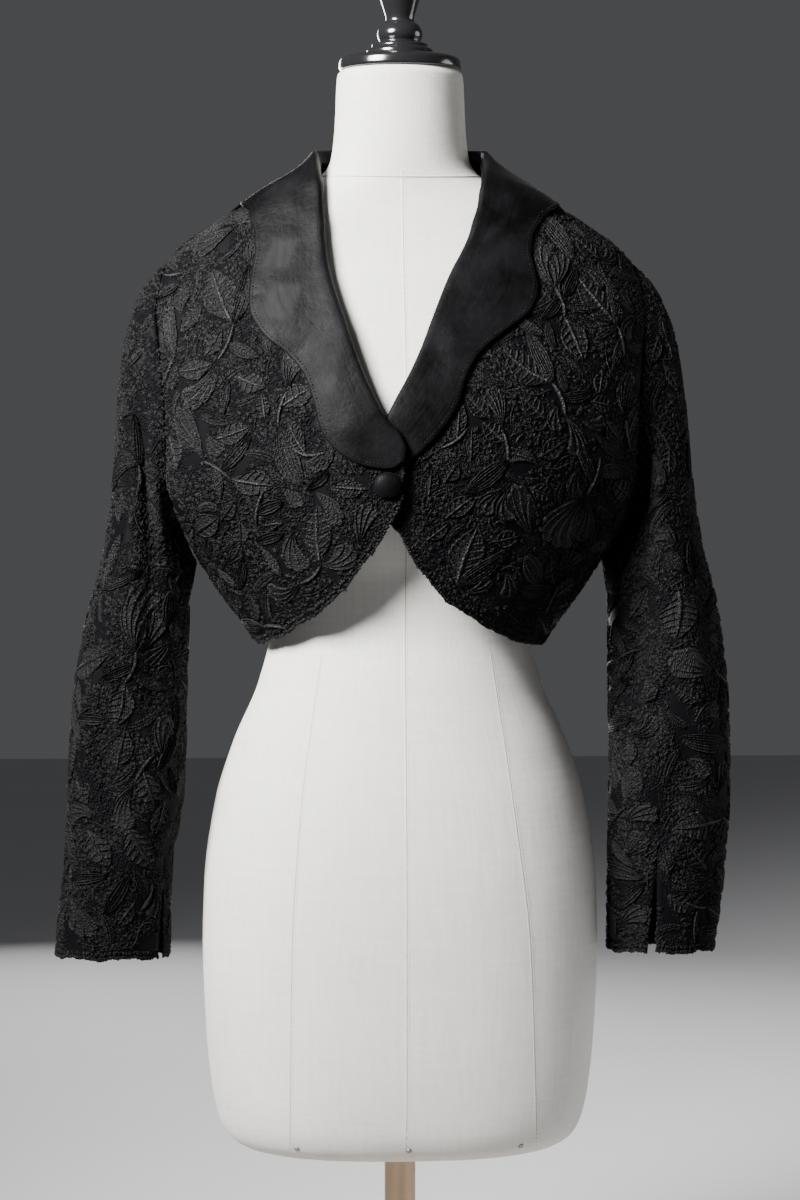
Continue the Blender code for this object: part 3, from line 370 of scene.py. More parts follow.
class Route:
    """A smooth line through points of the angle and height plane, by its share of length."""

    def __init__(self, points):
        points = np.asarray(points, float)
        places = body_point("left", points[:, 0], points[:, 1])
        run = np.concatenate([[0.0], np.cumsum(np.linalg.norm(np.diff(places, axis=0), axis=1))])
        share = run / run[-1]
        self.angle = Curve(share, points[:, 0])
        self.z = Curve(share, points[:, 1])

    def __call__(self, share):
        return np.stack([self.angle(share), self.z(share)], axis=-1)


SHOULDER_SEAM = Route([(90, z) for z in np.linspace(NECK_POINT_Z, SHOULDER_TIP_Z, 9)])


def side_edge(turn_way):
    """The side seam and then the armhole's edge, from hem to shoulder tip."""

    def edge(share):
        on_seam = np.clip(share / SIDE_SHARE, 0.0, 1.0)
        on_armhole = np.clip((share - SIDE_SHARE) / (1 - SIDE_SHARE), 0.0, 1.0)
        climb = (1 - np.cos(math.pi * on_armhole)) / 2
        seam_z = SIDE_HEM_Z + (UNDERARM_Z - SIDE_HEM_Z) * on_seam
        z = np.where(on_armhole > 0, UNDERARM_Z + (SHOULDER_TIP_Z - UNDERARM_Z) * climb, seam_z)
        return np.stack([90 + turn_way * armhole_angle(z), z], axis=-1)

    return edge


def patch(bottom, top, left, right):
    """A surface of the angle and height plane stretched between four edges."""

    def at(u, v):
        across = u[..., None]
        up = v[..., None]
        zero = np.zeros_like(u)
        one = np.ones_like(u)
        sides = (1 - across) * left(v) + across * right(v)
        ends = (1 - up) * bottom(u) + up * top(u)
        corners = (1 - across) * ((1 - up) * bottom(zero) + up * top(zero))
        corners = corners + across * ((1 - up) * bottom(one) + up * top(one))
        return sides + ends - corners

    return at


def keep_off_side_line(angle, z, turn_way):
    off = np.degrees(SEAM_GAP / 2 / half_depth(90 + turn_way, z))
    if turn_way < 0:
        return np.minimum(angle, 90 - off)
    return np.maximum(angle, 90 + off)


def front_surface(side):
    def on_body(rows):
        return [(angle_at(row.across, row.z), row.z) for row in rows]

    hem = Route([*on_body(HEM_EDGE[side]), (90, SIDE_HEM_Z)])
    neck = Route([*on_body(NECK_EDGE[side]), (90, NECK_POINT_Z)])
    plane = patch(hem, SHOULDER_SEAM, neck, side_edge(-1))

    def point(u, v):
        place = plane(u, v)
        angle = keep_off_side_line(place[..., 0], place[..., 1], -1)
        return body_point(side, angle, place[..., 1])

    return point


def back_surface():
    hem = Route([(180, BACK_HEM_Z), (150, BACK_HEM_Z), (120, 458), (90, SIDE_HEM_Z)])
    neck = Route([(180, NAPE_Z), (150, 867), (120, 864.5), (90, NECK_POINT_Z)])
    neck_share = 0.4

    def top(share):
        on_neck = neck(np.clip(share / neck_share, 0, 1))
        on_seam = SHOULDER_SEAM(np.clip((share - neck_share) / (1 - neck_share), 0, 1))
        return np.where((share > neck_share)[..., None], on_seam, on_neck)

    def centre(share):
        z = BACK_HEM_Z + (NAPE_Z - BACK_HEM_Z) * share
        return np.stack([np.full(np.shape(share), 180.0), z], axis=-1)

    plane = patch(hem, top, centre, side_edge(1))

    def point(u, v):
        from_centre = np.abs(2 * u - 1)
        place = plane(from_centre, v)
        angle = keep_off_side_line(place[..., 0], place[..., 1], 1)
        found = body_point("left", angle, place[..., 1])
        found[..., 0] = found[..., 0] * np.where(u > 0.5, -1.0, 1.0)
        return found

    return point


def armhole_point(side, around):
    """A point of the armhole's edge. around is 0 at the underarm, 0.5 at the shoulder tip."""
    z = UNDERARM_Z + (SHOULDER_TIP_Z - UNDERARM_Z) * (1 - np.cos(2 * math.pi * around)) / 2
    back_half = (around % 1.0) > 0.5
    angle = 90 + np.where(back_half, 1.0, -1.0) * armhole_angle(z)
    return body_point("left", angle, z) * np.array([SIGN[side], 1.0, 1.0])


def sleeve_ring_point(side, around, z):
    shape = SLEEVE_SHAPE[side]
    inner = shape["inner"](z)
    across = inner + (shape["outer"](z) - inner) * (1 - np.cos(2 * math.pi * around)) / 2
    y = -shape["forward"](z) - shape["half_depth"](z) * np.sin(2 * math.pi * around)
    return np.stack([SIGN[side] * across, y, z], axis=-1)


def sleeve_surface(side):
    """The sleeve as an unrolled strip whose two long edges meet along the slit's seam."""
    sign = SIGN[side]
    top_z = SLEEVE_RINGS[side][0].z
    cuff_z = SLEEVE_RINGS[side][-1].z
    start = SLIT_START[side]

    def point(u, v):
        u, v = np.broadcast_arrays(np.asarray(u, float), np.asarray(v, float))
        hang = np.clip((v - CAP_SHARE) / (1 - CAP_SHARE), 0.0, 1.0)
        z = top_z + (cuff_z - top_z) * hang
        open_share = smoothstep(cuff_z + SLIT_LENGTH - z, 0, SLIT_LENGTH)
        from_slit = np.where(u < 0.5, u, u - 1)
        near_slit = np.exp(-((from_slit / 0.05) ** 2)) * np.where(u < 0.5, 1.0, -1.0)
        girth = 2 * math.pi * SLEEVE_SHAPE[side]["half_depth"](z)
        around = start + u + near_slit * open_share * SLIT_OPENING / 2 / girth
        hanging = sleeve_ring_point(side, around, z)
        crown = (1 - np.cos(2 * math.pi * around)) / 2
        near_underarm = np.exp(-crown / 0.10)
        begin = armhole_point(side, around)
        end = sleeve_ring_point(side, around, np.full_like(z, top_z))
        aside = 0.10 * np.sin(2 * math.pi * around)
        leave = unit(np.stack([sign * (0.35 + 0.45 * crown), aside, -0.95 + 0.30 * crown], axis=-1))
        off = sign * (SLEEVE_SEAM_GAP + UNDERARM_EASE * near_underarm)
        begin = begin + np.stack([off, 0 * z, -0.5 * near_underarm], axis=-1)
        span = np.linalg.norm(end - begin, axis=-1)[..., None]
        first = begin + leave * span * 0.26
        last = end + np.stack([-sign * 0.12 * span[..., 0], 0 * z, 0.42 * span[..., 0]], axis=-1)
        t = np.clip(v / CAP_SHARE, 0.0, 1.0)[..., None]
        cap = begin * (1 - t) ** 3 + 3 * first * t * (1 - t) ** 2
        cap = cap + 3 * last * t * t * (1 - t) + end * t**3
        found = np.where((v <= CAP_SHARE)[..., None], cap, hanging)
        shape = SLEEVE_SHAPE[side]
        middle = (shape["inner"](found[..., 2]) + shape["outer"](found[..., 2])) / 2
        outward = np.stack([found[..., 0] - sign * middle, found[..., 1], 0 * z], axis=-1)
        fade = smoothstep(v, 0.0, 0.14) * (1 - 0.6 * open_share)
        fold = fold_height(SLEEVE_FOLDS, (around + SLEEVE_FOLD_SHIFT[side]) % 1.0, found[..., 2]) * fade
        return found + unit(outward) * fold[..., None]

    return point


def collar_surface(side):
    """u runs from the front tip to the nape, v from the stand's seam over the roll to the edge."""
    rows = [
        (angle_at(s.roll_across, s.roll_z), s.roll_z, angle_at(s.edge_across, s.edge_z), s.edge_z, s.stand)
        for s in COLLAR_FRONT[side]
    ]
    rows += [tuple(station) for station in COLLAR_BACK]
    columns = np.array(rows, float).T
    places = body_point(side, columns[0], columns[1])
    edges = body_point(side, columns[2], columns[3])
    run = np.linalg.norm(np.diff((places + edges) / 2, axis=0), axis=1)
    share = np.concatenate([[0.0], np.cumsum(run)])
    share = share / share[-1]
    roll_angle, roll_z, edge_angle, edge_z, stand = [Curve(share, column) for column in columns]

    def point(u, v):
        u, v = np.broadcast_arrays(np.asarray(u, float), np.asarray(v, float))
        low = CLOTH + COLLAR_CLEARANCE + COLLAR_BACK_EASE * smoothstep(u, 0.5, 0.75)
        on_fall = np.clip((v - STAND_SHARE) / (1 - STAND_SHARE), 0.0, 1.0)
        on_stand = np.clip(v / STAND_SHARE, 0.0, 1.0)
        angle = roll_angle(u) + (edge_angle(u) - roll_angle(u)) * on_fall
        z = roll_z(u) + (edge_z(u) - roll_z(u)) * on_fall
        place = body_point(side, angle, z)
        step = 0.5
        beside = body_point(side, angle + step, z) - body_point(side, angle - step, z)
        above = body_point(side, angle, z + step) - body_point(side, angle, z - step)
        outward = unit(np.cross(beside, above)) * SIGN[side]
        upright = smoothstep(roll_z(u), 770, 835)[..., None] * 0.8
        lift_way = unit(outward * (1 - upright) + np.array([0.0, 0.0, 1.0]) * upright)
        height = stand(u) + low - 2.6
        fall = low + (height - low) * (1 - on_fall**2.4)
        for crease in COLLAR_CREASES[side]:
            away = (u - crease.u - crease.slant * (v - crease.v)) / crease.half_width
            along = (v - crease.v) / crease.half_length
            fall = fall + crease.height * np.exp(-(away**2) - along**2)
        lift = np.where(v < STAND_SHARE, height * on_stand, fall)
        back_stand = smoothstep(roll_z(u), 780, 845)
        lean = back_stand * (1 - on_stand) * 1.5
        flat_out = outward * np.array([1.0, 1.0, 0.0])
        return place + lift_way * lift[..., None] - flat_out * lean[..., None]

    return point


def raised(points):
    return points + np.array([0.0, 0.0, FORM_FOOT_Z])


class Cloth:
    """A panel's surface sampled on a fine grid, which gives points between and just past its edges."""

    def __init__(self, point, outward, columns, rows, ragged=None, soften=0, joined_to=None):
        """joined_to is the last row at which the two long edges meet, as on a sleeve."""
        self.outward = outward
        self.joined_to = joined_to
        self.u = np.linspace(0, 1, columns + 1)
        self.v = np.linspace(0, 1, rows + 1)
        u, v = np.meshgrid(self.u, self.v)
        points = raised(point(u, v))
        for _ in range(soften):
            inner = (points[:-2] + 2 * points[1:-1] + points[2:]) / 4
            points = np.concatenate([points[:1], inner, points[-1:]])
        if ragged is not None:
            points = points + ragged(u, v, points)
        if joined_to is not None:
            points[: joined_to + 1, -1] = points[: joined_to + 1, 0]
        along = np.gradient(points, axis=1)
        if joined_to is not None:
            met = slice(0, joined_to + 1)
            along[met, 0] = (points[met, 1] - points[met, -2]) / 2
            along[met, -1] = along[met, 0]
        up = np.gradient(points, axis=0)
        self.points = points
        self.normals = unit(np.cross(along, up)) * outward
        self.along = along * columns
        self.up = up * rows
        self.columns = columns
        self.rows = rows

    def spread(self, grid, u, v, beyond=0.0):
        """A sampled value between the grid's points."""
        x = np.clip(u, -beyond, 1 + beyond) * self.columns
        y = np.clip(v, -beyond, 1 + beyond) * self.rows
        i = np.clip(np.floor(x).astype(int), 0, self.columns - 1)
        j = np.clip(np.floor(y).astype(int), 0, self.rows - 1)
        s = (x - i)[..., None]
        t = (y - j)[..., None]
        low = grid[j, i] * (1 - s) + grid[j, i + 1] * s
        high = grid[j + 1, i] * (1 - s) + grid[j + 1, i + 1] * s
        return low * (1 - t) + high * t

    def at(self, u, v, height, beyond=0.0):
        place = self.spread(self.points, u, v, beyond)
        normal = unit(self.spread(self.normals, u, v))
        return place + normal * np.asarray(height)[..., None]

    def size(self):
        """Mean length along u and along v."""
        wide = np.linalg.norm(np.diff(self.points, axis=1), axis=-1).sum(1).mean()
        long = np.linalg.norm(np.diff(self.points, axis=0), axis=-1).sum(0).mean()
        return float(wide), float(long)

    def area(self):
        cells = np.cross(np.diff(self.points, axis=1)[:-1], np.diff(self.points, axis=0)[:, :-1])
        return float(np.linalg.norm(cells, axis=-1).sum())

    def plane_at(self, u, v):
        """The 2 by 2 matrix from millimetres in the cloth's own plane to u and v."""
        along = self.spread(self.along, np.array([u]), np.array([v]))[0]
        up = self.spread(self.up, np.array([u]), np.array([v]))[0]
        first = along / np.linalg.norm(along)
        second = up - (up @ first) * first
        second = second / np.linalg.norm(second)
        frame_axes = np.array([[along @ first, up @ first], [along @ second, up @ second]])
        return np.linalg.inv(frame_axes)


def grid_faces(columns, rows, flip=False, offset=0):
    """Quads of a grid whose points run along u first."""
    i, j = np.meshgrid(np.arange(columns), np.arange(rows))
    low = (j * (columns + 1) + i).ravel() + offset
    quads = np.stack([low, low + 1, low + columns + 2, low + columns + 1], axis=1)
    return quads[:, ::-1] if flip else quads


def new_mesh(name, points, faces, uv=None, rise=None, level="rise"):
    """A mesh from points in millimetres. faces is a list of arrays of triangles and quads, and
    rise is a number at each point, which the mesh keeps under the name in level."""
    data = bpy.data.meshes.new(name)
    listed = [face for group in faces for face in group.tolist()]
    data.from_pydata((np.asarray(points) * MM).tolist(), [], listed)
    data.validate()
    if uv is not None:
        layer = data.uv_layers.new(name="cloth")
        corner = np.empty(len(data.loops), np.int32)
        data.loops.foreach_get("vertex_index", corner)
        layer.uv.foreach_set("vector", (np.asarray(uv) * MM)[corner].astype(np.float32).ravel())
    if rise is not None:
        values = data.attributes.new(level, "FLOAT", "POINT")
        values.data.foreach_set("value", np.asarray(rise, np.float32))
    data.shade_smooth()
    piece = bpy.data.objects.new(name, data)
    bpy.context.scene.collection.objects.link(piece)
    return piece


def finished(piece, slot, finish, *nodes):
    """Gives a piece its finish, its body and the CAD nodes it stands for."""
    piece.data.materials.clear()
    piece.data.materials.append(finish)
    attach(piece, BODY)
    if nodes:
        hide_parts(*nodes)
    return piece


def cloth_shell(name, cloth, thickness, round_rim, level, amount):
    """The panel as a thin closed shell, with an edge that is plain or a little rounded. amount is
    a number at each sampled point, which the mesh keeps under the name in level."""
    way = cloth.outward
    joined_to = cloth.joined_to
    columns, rows = cloth.columns, cloth.rows
    inner = cloth.points.reshape(-1, 3)
    outer = (cloth.points + cloth.normals * thickness).reshape(-1, 3)
    count = len(inner)
    quads = [grid_faces(columns, rows, way > 0), grid_faces(columns, rows, way < 0, count)]
    wide, long = cloth.size()
    u, v = np.meshgrid(cloth.u * wide, cloth.v * long)
    uv = np.stack([u.ravel(), v.ravel()], axis=1)
    index = np.arange(count).reshape(rows + 1, columns + 1)
    first_open = 0 if joined_to is None else joined_to
    loop = list(index[rows, ::-1]) + list(index[first_open:rows, 0][::-1])
    if joined_to is None:
        loop += list(index[0, 1:]) + list(index[1:rows, columns])
    else:
        loop += list(index[first_open:rows, columns])[1:]
    loops = [np.array(loop)]
    if joined_to is not None:
        loops.append(np.array(list(index[0, :-1])))
    points = [inner, outer]
    uvs = [uv, uv]
    amounts = [amount.ravel(), amount.ravel()]
    total = 2 * count
    for around in loops:
        after = np.roll(around, -1)
        if round_rim > 0:
            middle = (inner[around] + outer[around]) / 2
            tangent = unit(np.roll(middle, -1, 0) - np.roll(middle, 1, 0))
            side_way = unit(np.cross(tangent, unit(outer[around] - inner[around])))
            inward = unit(cloth.points.reshape(-1, 3).mean(0) - middle)
            flip = np.sign((side_way * inward).sum(1, keepdims=True))
            bulge = middle - side_way * flip * round_rim
            ids = np.arange(len(around)) + total
            next_ids = np.roll(ids, -1)
            points.append(bulge)
            uvs.append(uv[around])
            amounts.append(amount.ravel()[around])
            total += len(around)
            quads.append(np.stack([around, ids, next_ids, after], axis=1))
            quads.append(np.stack([ids, around + count, after + count, next_ids], axis=1))
        else:
            quads.append(np.stack([around, around + count, after + count, after], axis=1))
    values = np.concatenate(amounts)
    piece = new_mesh(name, np.concatenate(points), quads, np.concatenate(uvs), values, level)
    weld(piece)
    return piece


def weld(piece):
    mesh = bmesh.new()
    mesh.from_mesh(piece.data)
    bmesh.ops.remove_doubles(mesh, verts=mesh.verts, dist=WELD_DISTANCE)
    bmesh.ops.recalc_face_normals(mesh, faces=mesh.faces)
    mesh.to_mesh(piece.data)
    mesh.free()


class Value:
    """A number in a material's tree that takes plain arithmetic."""

    def __init__(self, finish, socket):
        self.finish = finish
        self.socket = socket

    def __add__(self, other):
        return self.finish.maths("ADD", self, other)

    __radd__ = __add__

    def __sub__(self, other):
        return self.finish.maths("SUBTRACT", self, other)

    def __rsub__(self, other):
        return self.finish.maths("SUBTRACT", other, self)

    def __mul__(self, other):
        return self.finish.maths("MULTIPLY", self, other)

    __rmul__ = __mul__


class Finish:
    """A material in the making. One method makes every node."""

    def __init__(self, name, colour, roughness, fixed=None):
        self.material = bpy.data.materials.new(name)
        self.material.use_nodes = True
        self.tree = self.material.node_tree
        self.shader = self.tree.nodes["Principled BSDF"]
        self.set("Base Color", (*colour, 1.0))
        self.set("Roughness", roughness)
        for socket, value in (fixed or {}).items():
            self.set(socket, value)

    def set(self, socket, value):
        self.link(value, self.shader.inputs[socket])

    def link(self, value, socket):
        if isinstance(value, Value):
            self.tree.links.new(value.socket, socket)
        else:
            socket.default_value = value

    def node(self, kind, settings=None, sockets=None, output=0):
        made = self.tree.nodes.new(kind)
        for name, value in (settings or {}).items():
            setattr(made, name, value)
        for name, value in (sockets or {}).items():
            self.link(value, made.inputs[name])
        return Value(self, made.outputs[output])

    def maths(self, operation, first, second):
        return self.node("ShaderNodeMath", {"operation": operation}, {0: first, 1: second})

    def clamped(self, value):
        return self.node("ShaderNodeClamp", None, {"Value": value})

    def place(self, stretch, kind):
        source = self.node("ShaderNodeTexCoord", output=kind)
        return self.node("ShaderNodeMapping", None, {"Vector": source, "Scale": stretch})

    def noise(self, scale, detail=2.0, stretch=(1, 1, 1), kind="Object", roughness=0.5):
        sockets = {"Vector": self.place(stretch, kind), "Scale": scale, "Detail": detail}
        sockets["Roughness"] = roughness
        return self.node("ShaderNodeTexNoise", None, sockets)

    def wave(self, scale, stretch=(1, 1, 1), distortion=0.0, kind="Object", direction="X"):
        sockets = {"Vector": self.place(stretch, kind), "Scale": scale, "Distortion": distortion}
        settings = {"wave_type": "BANDS", "bands_direction": direction}
        return self.node("ShaderNodeTexWave", settings, sockets, output="Fac")

    def cells(self, scale):
        sockets = {"Vector": self.place((1, 1, 1), "Object"), "Scale": scale}
        return self.node("ShaderNodeTexVoronoi", None, sockets)

    def mix(self, factor, first, second):
        sockets = {0: factor, 6: first, 7: second}
        return self.node("ShaderNodeMix", {"data_type": "RGBA"}, sockets, output=2)

    def bump(self, height, distance, strength=1.0, under=None):
        sockets = {"Height": height, "Distance": distance, "Strength": strength}
        if under is not None:
            sockets["Normal"] = under
        return self.node("ShaderNodeBump", None, sockets)


def rgba(colour, scale=1.0):
    return tuple(min(1.0, part * scale) for part in colour) + (1.0,)


FINISHES = {}


def finish_named(name):
    """Each material is made once, by the function of its name."""
    if name not in FINISHES:
        FINISHES[name] = MATERIALS[name]().material
    return FINISHES[name]


def ground_finish():
    """Blue-black cloth under close nubs of thread, smooth only in its bare patches."""
    colours = bpy.context.scene.bolero_colours
    made = Finish("ground_cloth", colours.ground, 0.6, {"Specular IOR Level": 0.06})
    worked = made.node("ShaderNodeAttribute", {"attribute_name": "worked"}, output=2)
    strands = made.noise(950.0, 3.0)
    ragged = made.noise(210.0, 3.0)
    covered = made.clamped((worked - 0.5) * 7.0 + (ragged - 0.5) * 5.0 + 0.5)
    nubs = made.clamped(1.15 - made.cells(480.0) * 1.7)
    patchy = made.noise(55.0, 3.0)
    # The nubs take the thread's colour, lightest at each nub's centre: a painted highlight on their tops and
    # painted shade between them
    lit = made.clamped(covered * nubs * (strands * 1.1 + 0.2) * (patchy * 1.3 + 0.1) * 0.12)
    cloud = made.mix(made.noise(60.0, 3.0), rgba(colours.ground, 0.7), rgba(colours.ground, 1.6))
    made.set("Base Color", made.mix(lit, cloud, rgba(colours.thread, 2.0)))
    made.set("Roughness", made.clamped(strands * 0.2 + 0.55))
    threads = made.wave(330.0, kind="UV") + made.wave(330.0, kind="UV", direction="Y")
    woven = made.bump(threads, 0.0001, 0.4)
    made.set("Normal", made.bump(nubs * covered, 0.0013, 0.9, woven))
    return made


def thread_finish():
    """Thick thread with painted light from its rise attribute: a painted highlight on its ribs and cords,
    painted shade between them, and fine stitches across them.
    """
    colours = bpy.context.scene.bolero_colours
    made = Finish("lace_thread", colours.thread, 0.5, {"Specular IOR Level": 0.22})
    rise = made.node("ShaderNodeAttribute", {"attribute_name": "rise"}, output=2)
    cloud = made.clamped(made.noise(11.0, 2.0) * 2.4 - 0.7)
    patchy = made.noise(45.0, 3.0)
    nubs = made.clamped(1.15 - made.cells(430.0) * 1.7)
    strands = made.noise(900.0, 3.0)
    stitches = made.wave(185.0, kind="UV", distortion=2.0)
    grain = nubs * (strands * 1.1 + 0.35)
    # The colour follows the rise attribute: raised cords get a painted highlight and the hollows get painted
    # shade
    cord = made.clamped((rise - 0.72) * 4.5) * (strands * 0.8 + 0.3) * (nubs * 0.6 + 0.4)
    filling = (rise * 0.6 + 0.03) * (patchy * 0.9 + 0.2) * (stitches * 0.5 + 0.5) * grain
    tone = cloud * 0.85 + 0.4
    lit = made.clamped((filling * 0.55 + cord * (patchy * 0.9 + 0.4) * 1.25) * tone)
    made.set("Base Color", made.mix(lit, rgba(colours.thread_hollow_shade), rgba(colours.thread, 3.4)))
    made.set("Roughness", made.clamped(0.74 - rise * 0.25 + strands * 0.1))
    twist = made.bump(stitches, 0.0004, 0.6)
    made.set("Normal", made.bump(nubs, 0.0011, 0.9, twist))
    return made


def satin_finish():
    """Soft black satin: faint slubs, a cloudy bloom with painted sheen in its tone, and lighter patches of
    painted window reflection by an attribute.
    """
    colour = bpy.context.scene.bolero_colours.satin
    fixed = {"Specular IOR Level": 0.05, "Sheen Weight": 0.012, "Sheen Roughness": 0.35}
    made = Finish("black_satin", colour, 0.4, fixed)
    rubbed = made.node("ShaderNodeAttribute", {"attribute_name": "rubbed"}, output=2)
    cloud = made.noise(22.0, 5.0, roughness=0.62)
    bloom = made.noise(48.0, 5.0, roughness=0.65)
    slubs = made.noise(260.0, 4.0, (0.06, 1.0, 1.0), "UV")
    # The cloudy tone is partly the satin's own mottle and partly painted sheen in soft light clouds
    tone = made.clamped(cloud * 4.2 - 1.65)
    plain = made.mix(tone, rgba(colour, 0.25), rgba(colour, 2.8))
    streaked = made.mix(made.clamped(slubs * 2.0 - 0.6) * 0.35, plain, rgba(colour, 3.8))
    # The lighter patches are a painted window reflection on the satin
    patch = made.clamped(rubbed * (slubs * 1.2 + 0.3))
    made.set("Base Color", made.mix(patch, streaked, rgba(PAINTED_REFLECTION_GREY)))
    made.set("Roughness", made.clamped(0.30 + bloom * 0.36 + rubbed * 0.15))
    yarn = made.wave(500.0, kind="UV", direction="Y")
    weave = made.bump(yarn, 0.00006, 0.5)
    made.set("Normal", made.bump(slubs, 0.0005, 0.4, made.bump(bloom, 0.0024, 0.5, weave)))
    return made


def linen_finish():
    """Off-white linen pulled over the form, with slubbed yarns and a little handling dirt."""
    colour = bpy.context.scene.bolero_colours.linen
    made = Finish("linen", colour, 0.85, {"Sheen Weight": 0.15})
    warp = made.wave(1150.0, kind="UV", distortion=0.6)
    weft = made.wave(1150.0, kind="UV", distortion=0.6, direction="Y")
    slub = made.noise(300.0, 3.0, (0.08, 1.0, 1.0), "UV")
    slub_up = made.noise(300.0, 3.0, (1.0, 0.08, 1.0), "UV")
    dirt = made.noise(7.0, 4.0, roughness=0.6)
    tone = made.clamped(dirt * 0.8 + (slub + slub_up) * 0.55 - 0.45)
    made.set("Base Color", made.mix(tone, rgba(colour, 0.80), rgba(colour, 1.10)))
    made.set("Roughness", made.clamped(0.78 + slub * 0.14))
    cloth = made.bump(warp * weft, 0.00012, 0.6)
    made.set("Normal", made.bump(slub + slub_up, 0.0004, 0.6, cloth))
    return made


def lacquer_finish():
    """Black lacquer over turned wood."""
    colour = bpy.context.scene.bolero_colours.lacquer
    made = Finish("black_lacquer", colour, 0.16, {"Coat Roughness": 0.05})
    wear = made.noise(30.0, 5.0, roughness=0.65)
    made.set("Base Color", made.mix(wear, rgba(colour, 0.7), rgba(colour, 2.2)))
    made.set("Roughness", made.clamped(0.10 + wear * 0.16))
    made.set("Coat Weight", 0.5)
    made.set("Normal", made.bump(made.noise(14.0, 2.0), 0.0006, 0.25))
    return made


def wood_finish():
    """Pale turned wood with long grain and a thin varnish."""
    colour = bpy.context.scene.bolero_colours.wood
    made = Finish("pale_wood", colour, 0.45, {"Coat Roughness": 0.3})
    rings = made.wave(26.0, (1.0, 1.0, 0.12), 5.0)
    grain = made.noise(140.0, 4.0, (1.0, 1.0, 0.05))
    tone = made.clamped(rings * 0.45 + grain * 0.55)
    made.set("Base Color", made.mix(tone, rgba(colour, 0.72), rgba(colour, 1.22)))
    made.set("Roughness", made.clamped(0.36 + grain * 0.2))
    made.set("Coat Weight", 0.25)
    made.set("Normal", made.bump(grain, 0.0004, 0.35))
    return made


def tack_finish():
    """Small domed steel nails, a little dull."""
    made = Finish("steel_tack", (0.32, 0.31, 0.30), 0.38, {"Metallic": 1.0})
    dull = made.noise(900.0, 3.0)
    made.set("Roughness", made.clamped(0.28 + dull * 0.3))
    return made


def welt_finish():
    """Linen pressed along a seam, with a darker brownish line along its middle."""
    colour = bpy.context.scene.bolero_colours.linen
    made = Finish("linen_seam", colour, 0.85, {"Sheen Weight": 0.15})
    rise = made.node("ShaderNodeAttribute", {"attribute_name": "rise"}, output=2)
    worn = made.noise(60.0, 3.0)
    line = made.mix(worn, (0.30, 0.22, 0.17, 1.0), (0.52, 0.44, 0.37, 1.0))
    plain = made.mix(worn, rgba(colour, 0.9), rgba(colour, 1.05))
    made.set("Base Color", made.mix(made.clamped(rise * 1.1), line, plain))
    made.set("Normal", made.bump(made.noise(700.0, 2.0), 0.0002, 0.5))
    return made


def seam_finish():
    """Sewing thread in the linen's seams."""
    colour = bpy.context.scene.bolero_colours.linen
    made = Finish("seam_thread", colour, 0.7)
    made.set("Base Color", made.mix(made.noise(400.0, 2.0), rgba(colour, 0.62), rgba(colour, 0.9)))
    return made


def floor_finish():
    """A plain pale floor."""
    made = Finish("pale_floor", (0.62, 0.62, 0.63), 0.9)
    made.set("Base Color", made.mix(made.noise(3.0, 3.0), (0.60, 0.60, 0.61, 1), (0.64, 0.64, 0.65, 1)))
    return made


MATERIALS = {
    "ground": ground_finish,
    "thread": thread_finish,
    "satin": satin_finish,
    "linen": linen_finish,
    "lacquer": lacquer_finish,
    "wood": wood_finish,
    "tack": tack_finish,
    "seam": seam_finish,
    "welt": welt_finish,
    "floor": floor_finish,
}


# The lace's motifs. Each is drawn flat in millimetres, as x, y and height, with its faces, its own
# strand coordinates and how light each point is painted: painted highlight on cords and raised tops, painted
# shade in hollows.
Motif = namedtuple("Motif", "shape faces strands rise")

# One lobe of a leaf, from its groove over the stitched cloth to the cord at its side
LOBE_AT = np.array([0.0, 0.10, 0.48, 0.70, 0.82, 0.93])
LOBE_RISE = np.array([0.05, 0.30, 0.40, 0.50, 1.0, 0.88])


def lobes(count, first=0.0, last=1.0):
    """Places and heights across a row of lobes, which ends on a cord."""
    places = [first + (last - first) * (k + LOBE_AT) / count for k in range(count)]
    heights = [LOBE_RISE] * count
    return np.concatenate([*places, [last]]), np.concatenate([*heights, [0.0]])


def wing_motif(length, spread, ribs, height, curl):
    """A fan of ribbed lobes from one base, like half of an open wing, with a scalloped end."""
    t, profile = lobes(ribs)
    s = np.array([0.0, 0.10, 0.24, 0.40, 0.56, 0.71, 0.84, 0.92, 0.965, 1.0])
    taper = np.array([0.25, 0.75, 0.9, 1.0, 1.0, 0.95, 0.85, 0.8, 1.0, 0.0])
    scallop = np.abs(np.sin(math.pi * np.minimum(t, 0.9999) * ribs)) ** 0.6
    reach = length * (0.46 + 0.54 * np.sin(math.pi * (0.04 + 0.74 * t))) * (0.90 + 0.10 * scallop)
    radius = 2.2 + np.outer(s, reach)
    angle = (t[None] - 0.5) * spread * (0.72 + 0.28 * s[:, None]) + curl * s[:, None] ** 1.6
    x = radius * np.cos(angle)
    y = radius * np.sin(angle)
    edge = np.ones_like(profile)
    edge[0] = 0.0
    rise = np.outer(taper, profile * edge)
    rim = (s[:, None] == 0.965) * edge[None] * (profile[None] > 0)
    rise = np.maximum(rise, 0.86 * rim)
    # Painted light: the higher a point, the lighter it is painted
    lit = np.clip(rise**1.5, 0, 1)
    strands = np.stack([radius, angle * length * 0.6], axis=-1).reshape(-1, 2)
    shape = np.stack([x, y, height * rise], axis=-1).reshape(-1, 3)
    return Motif(shape, grid_faces(len(t) - 1, len(s) - 1, True), strands, lit.ravel())


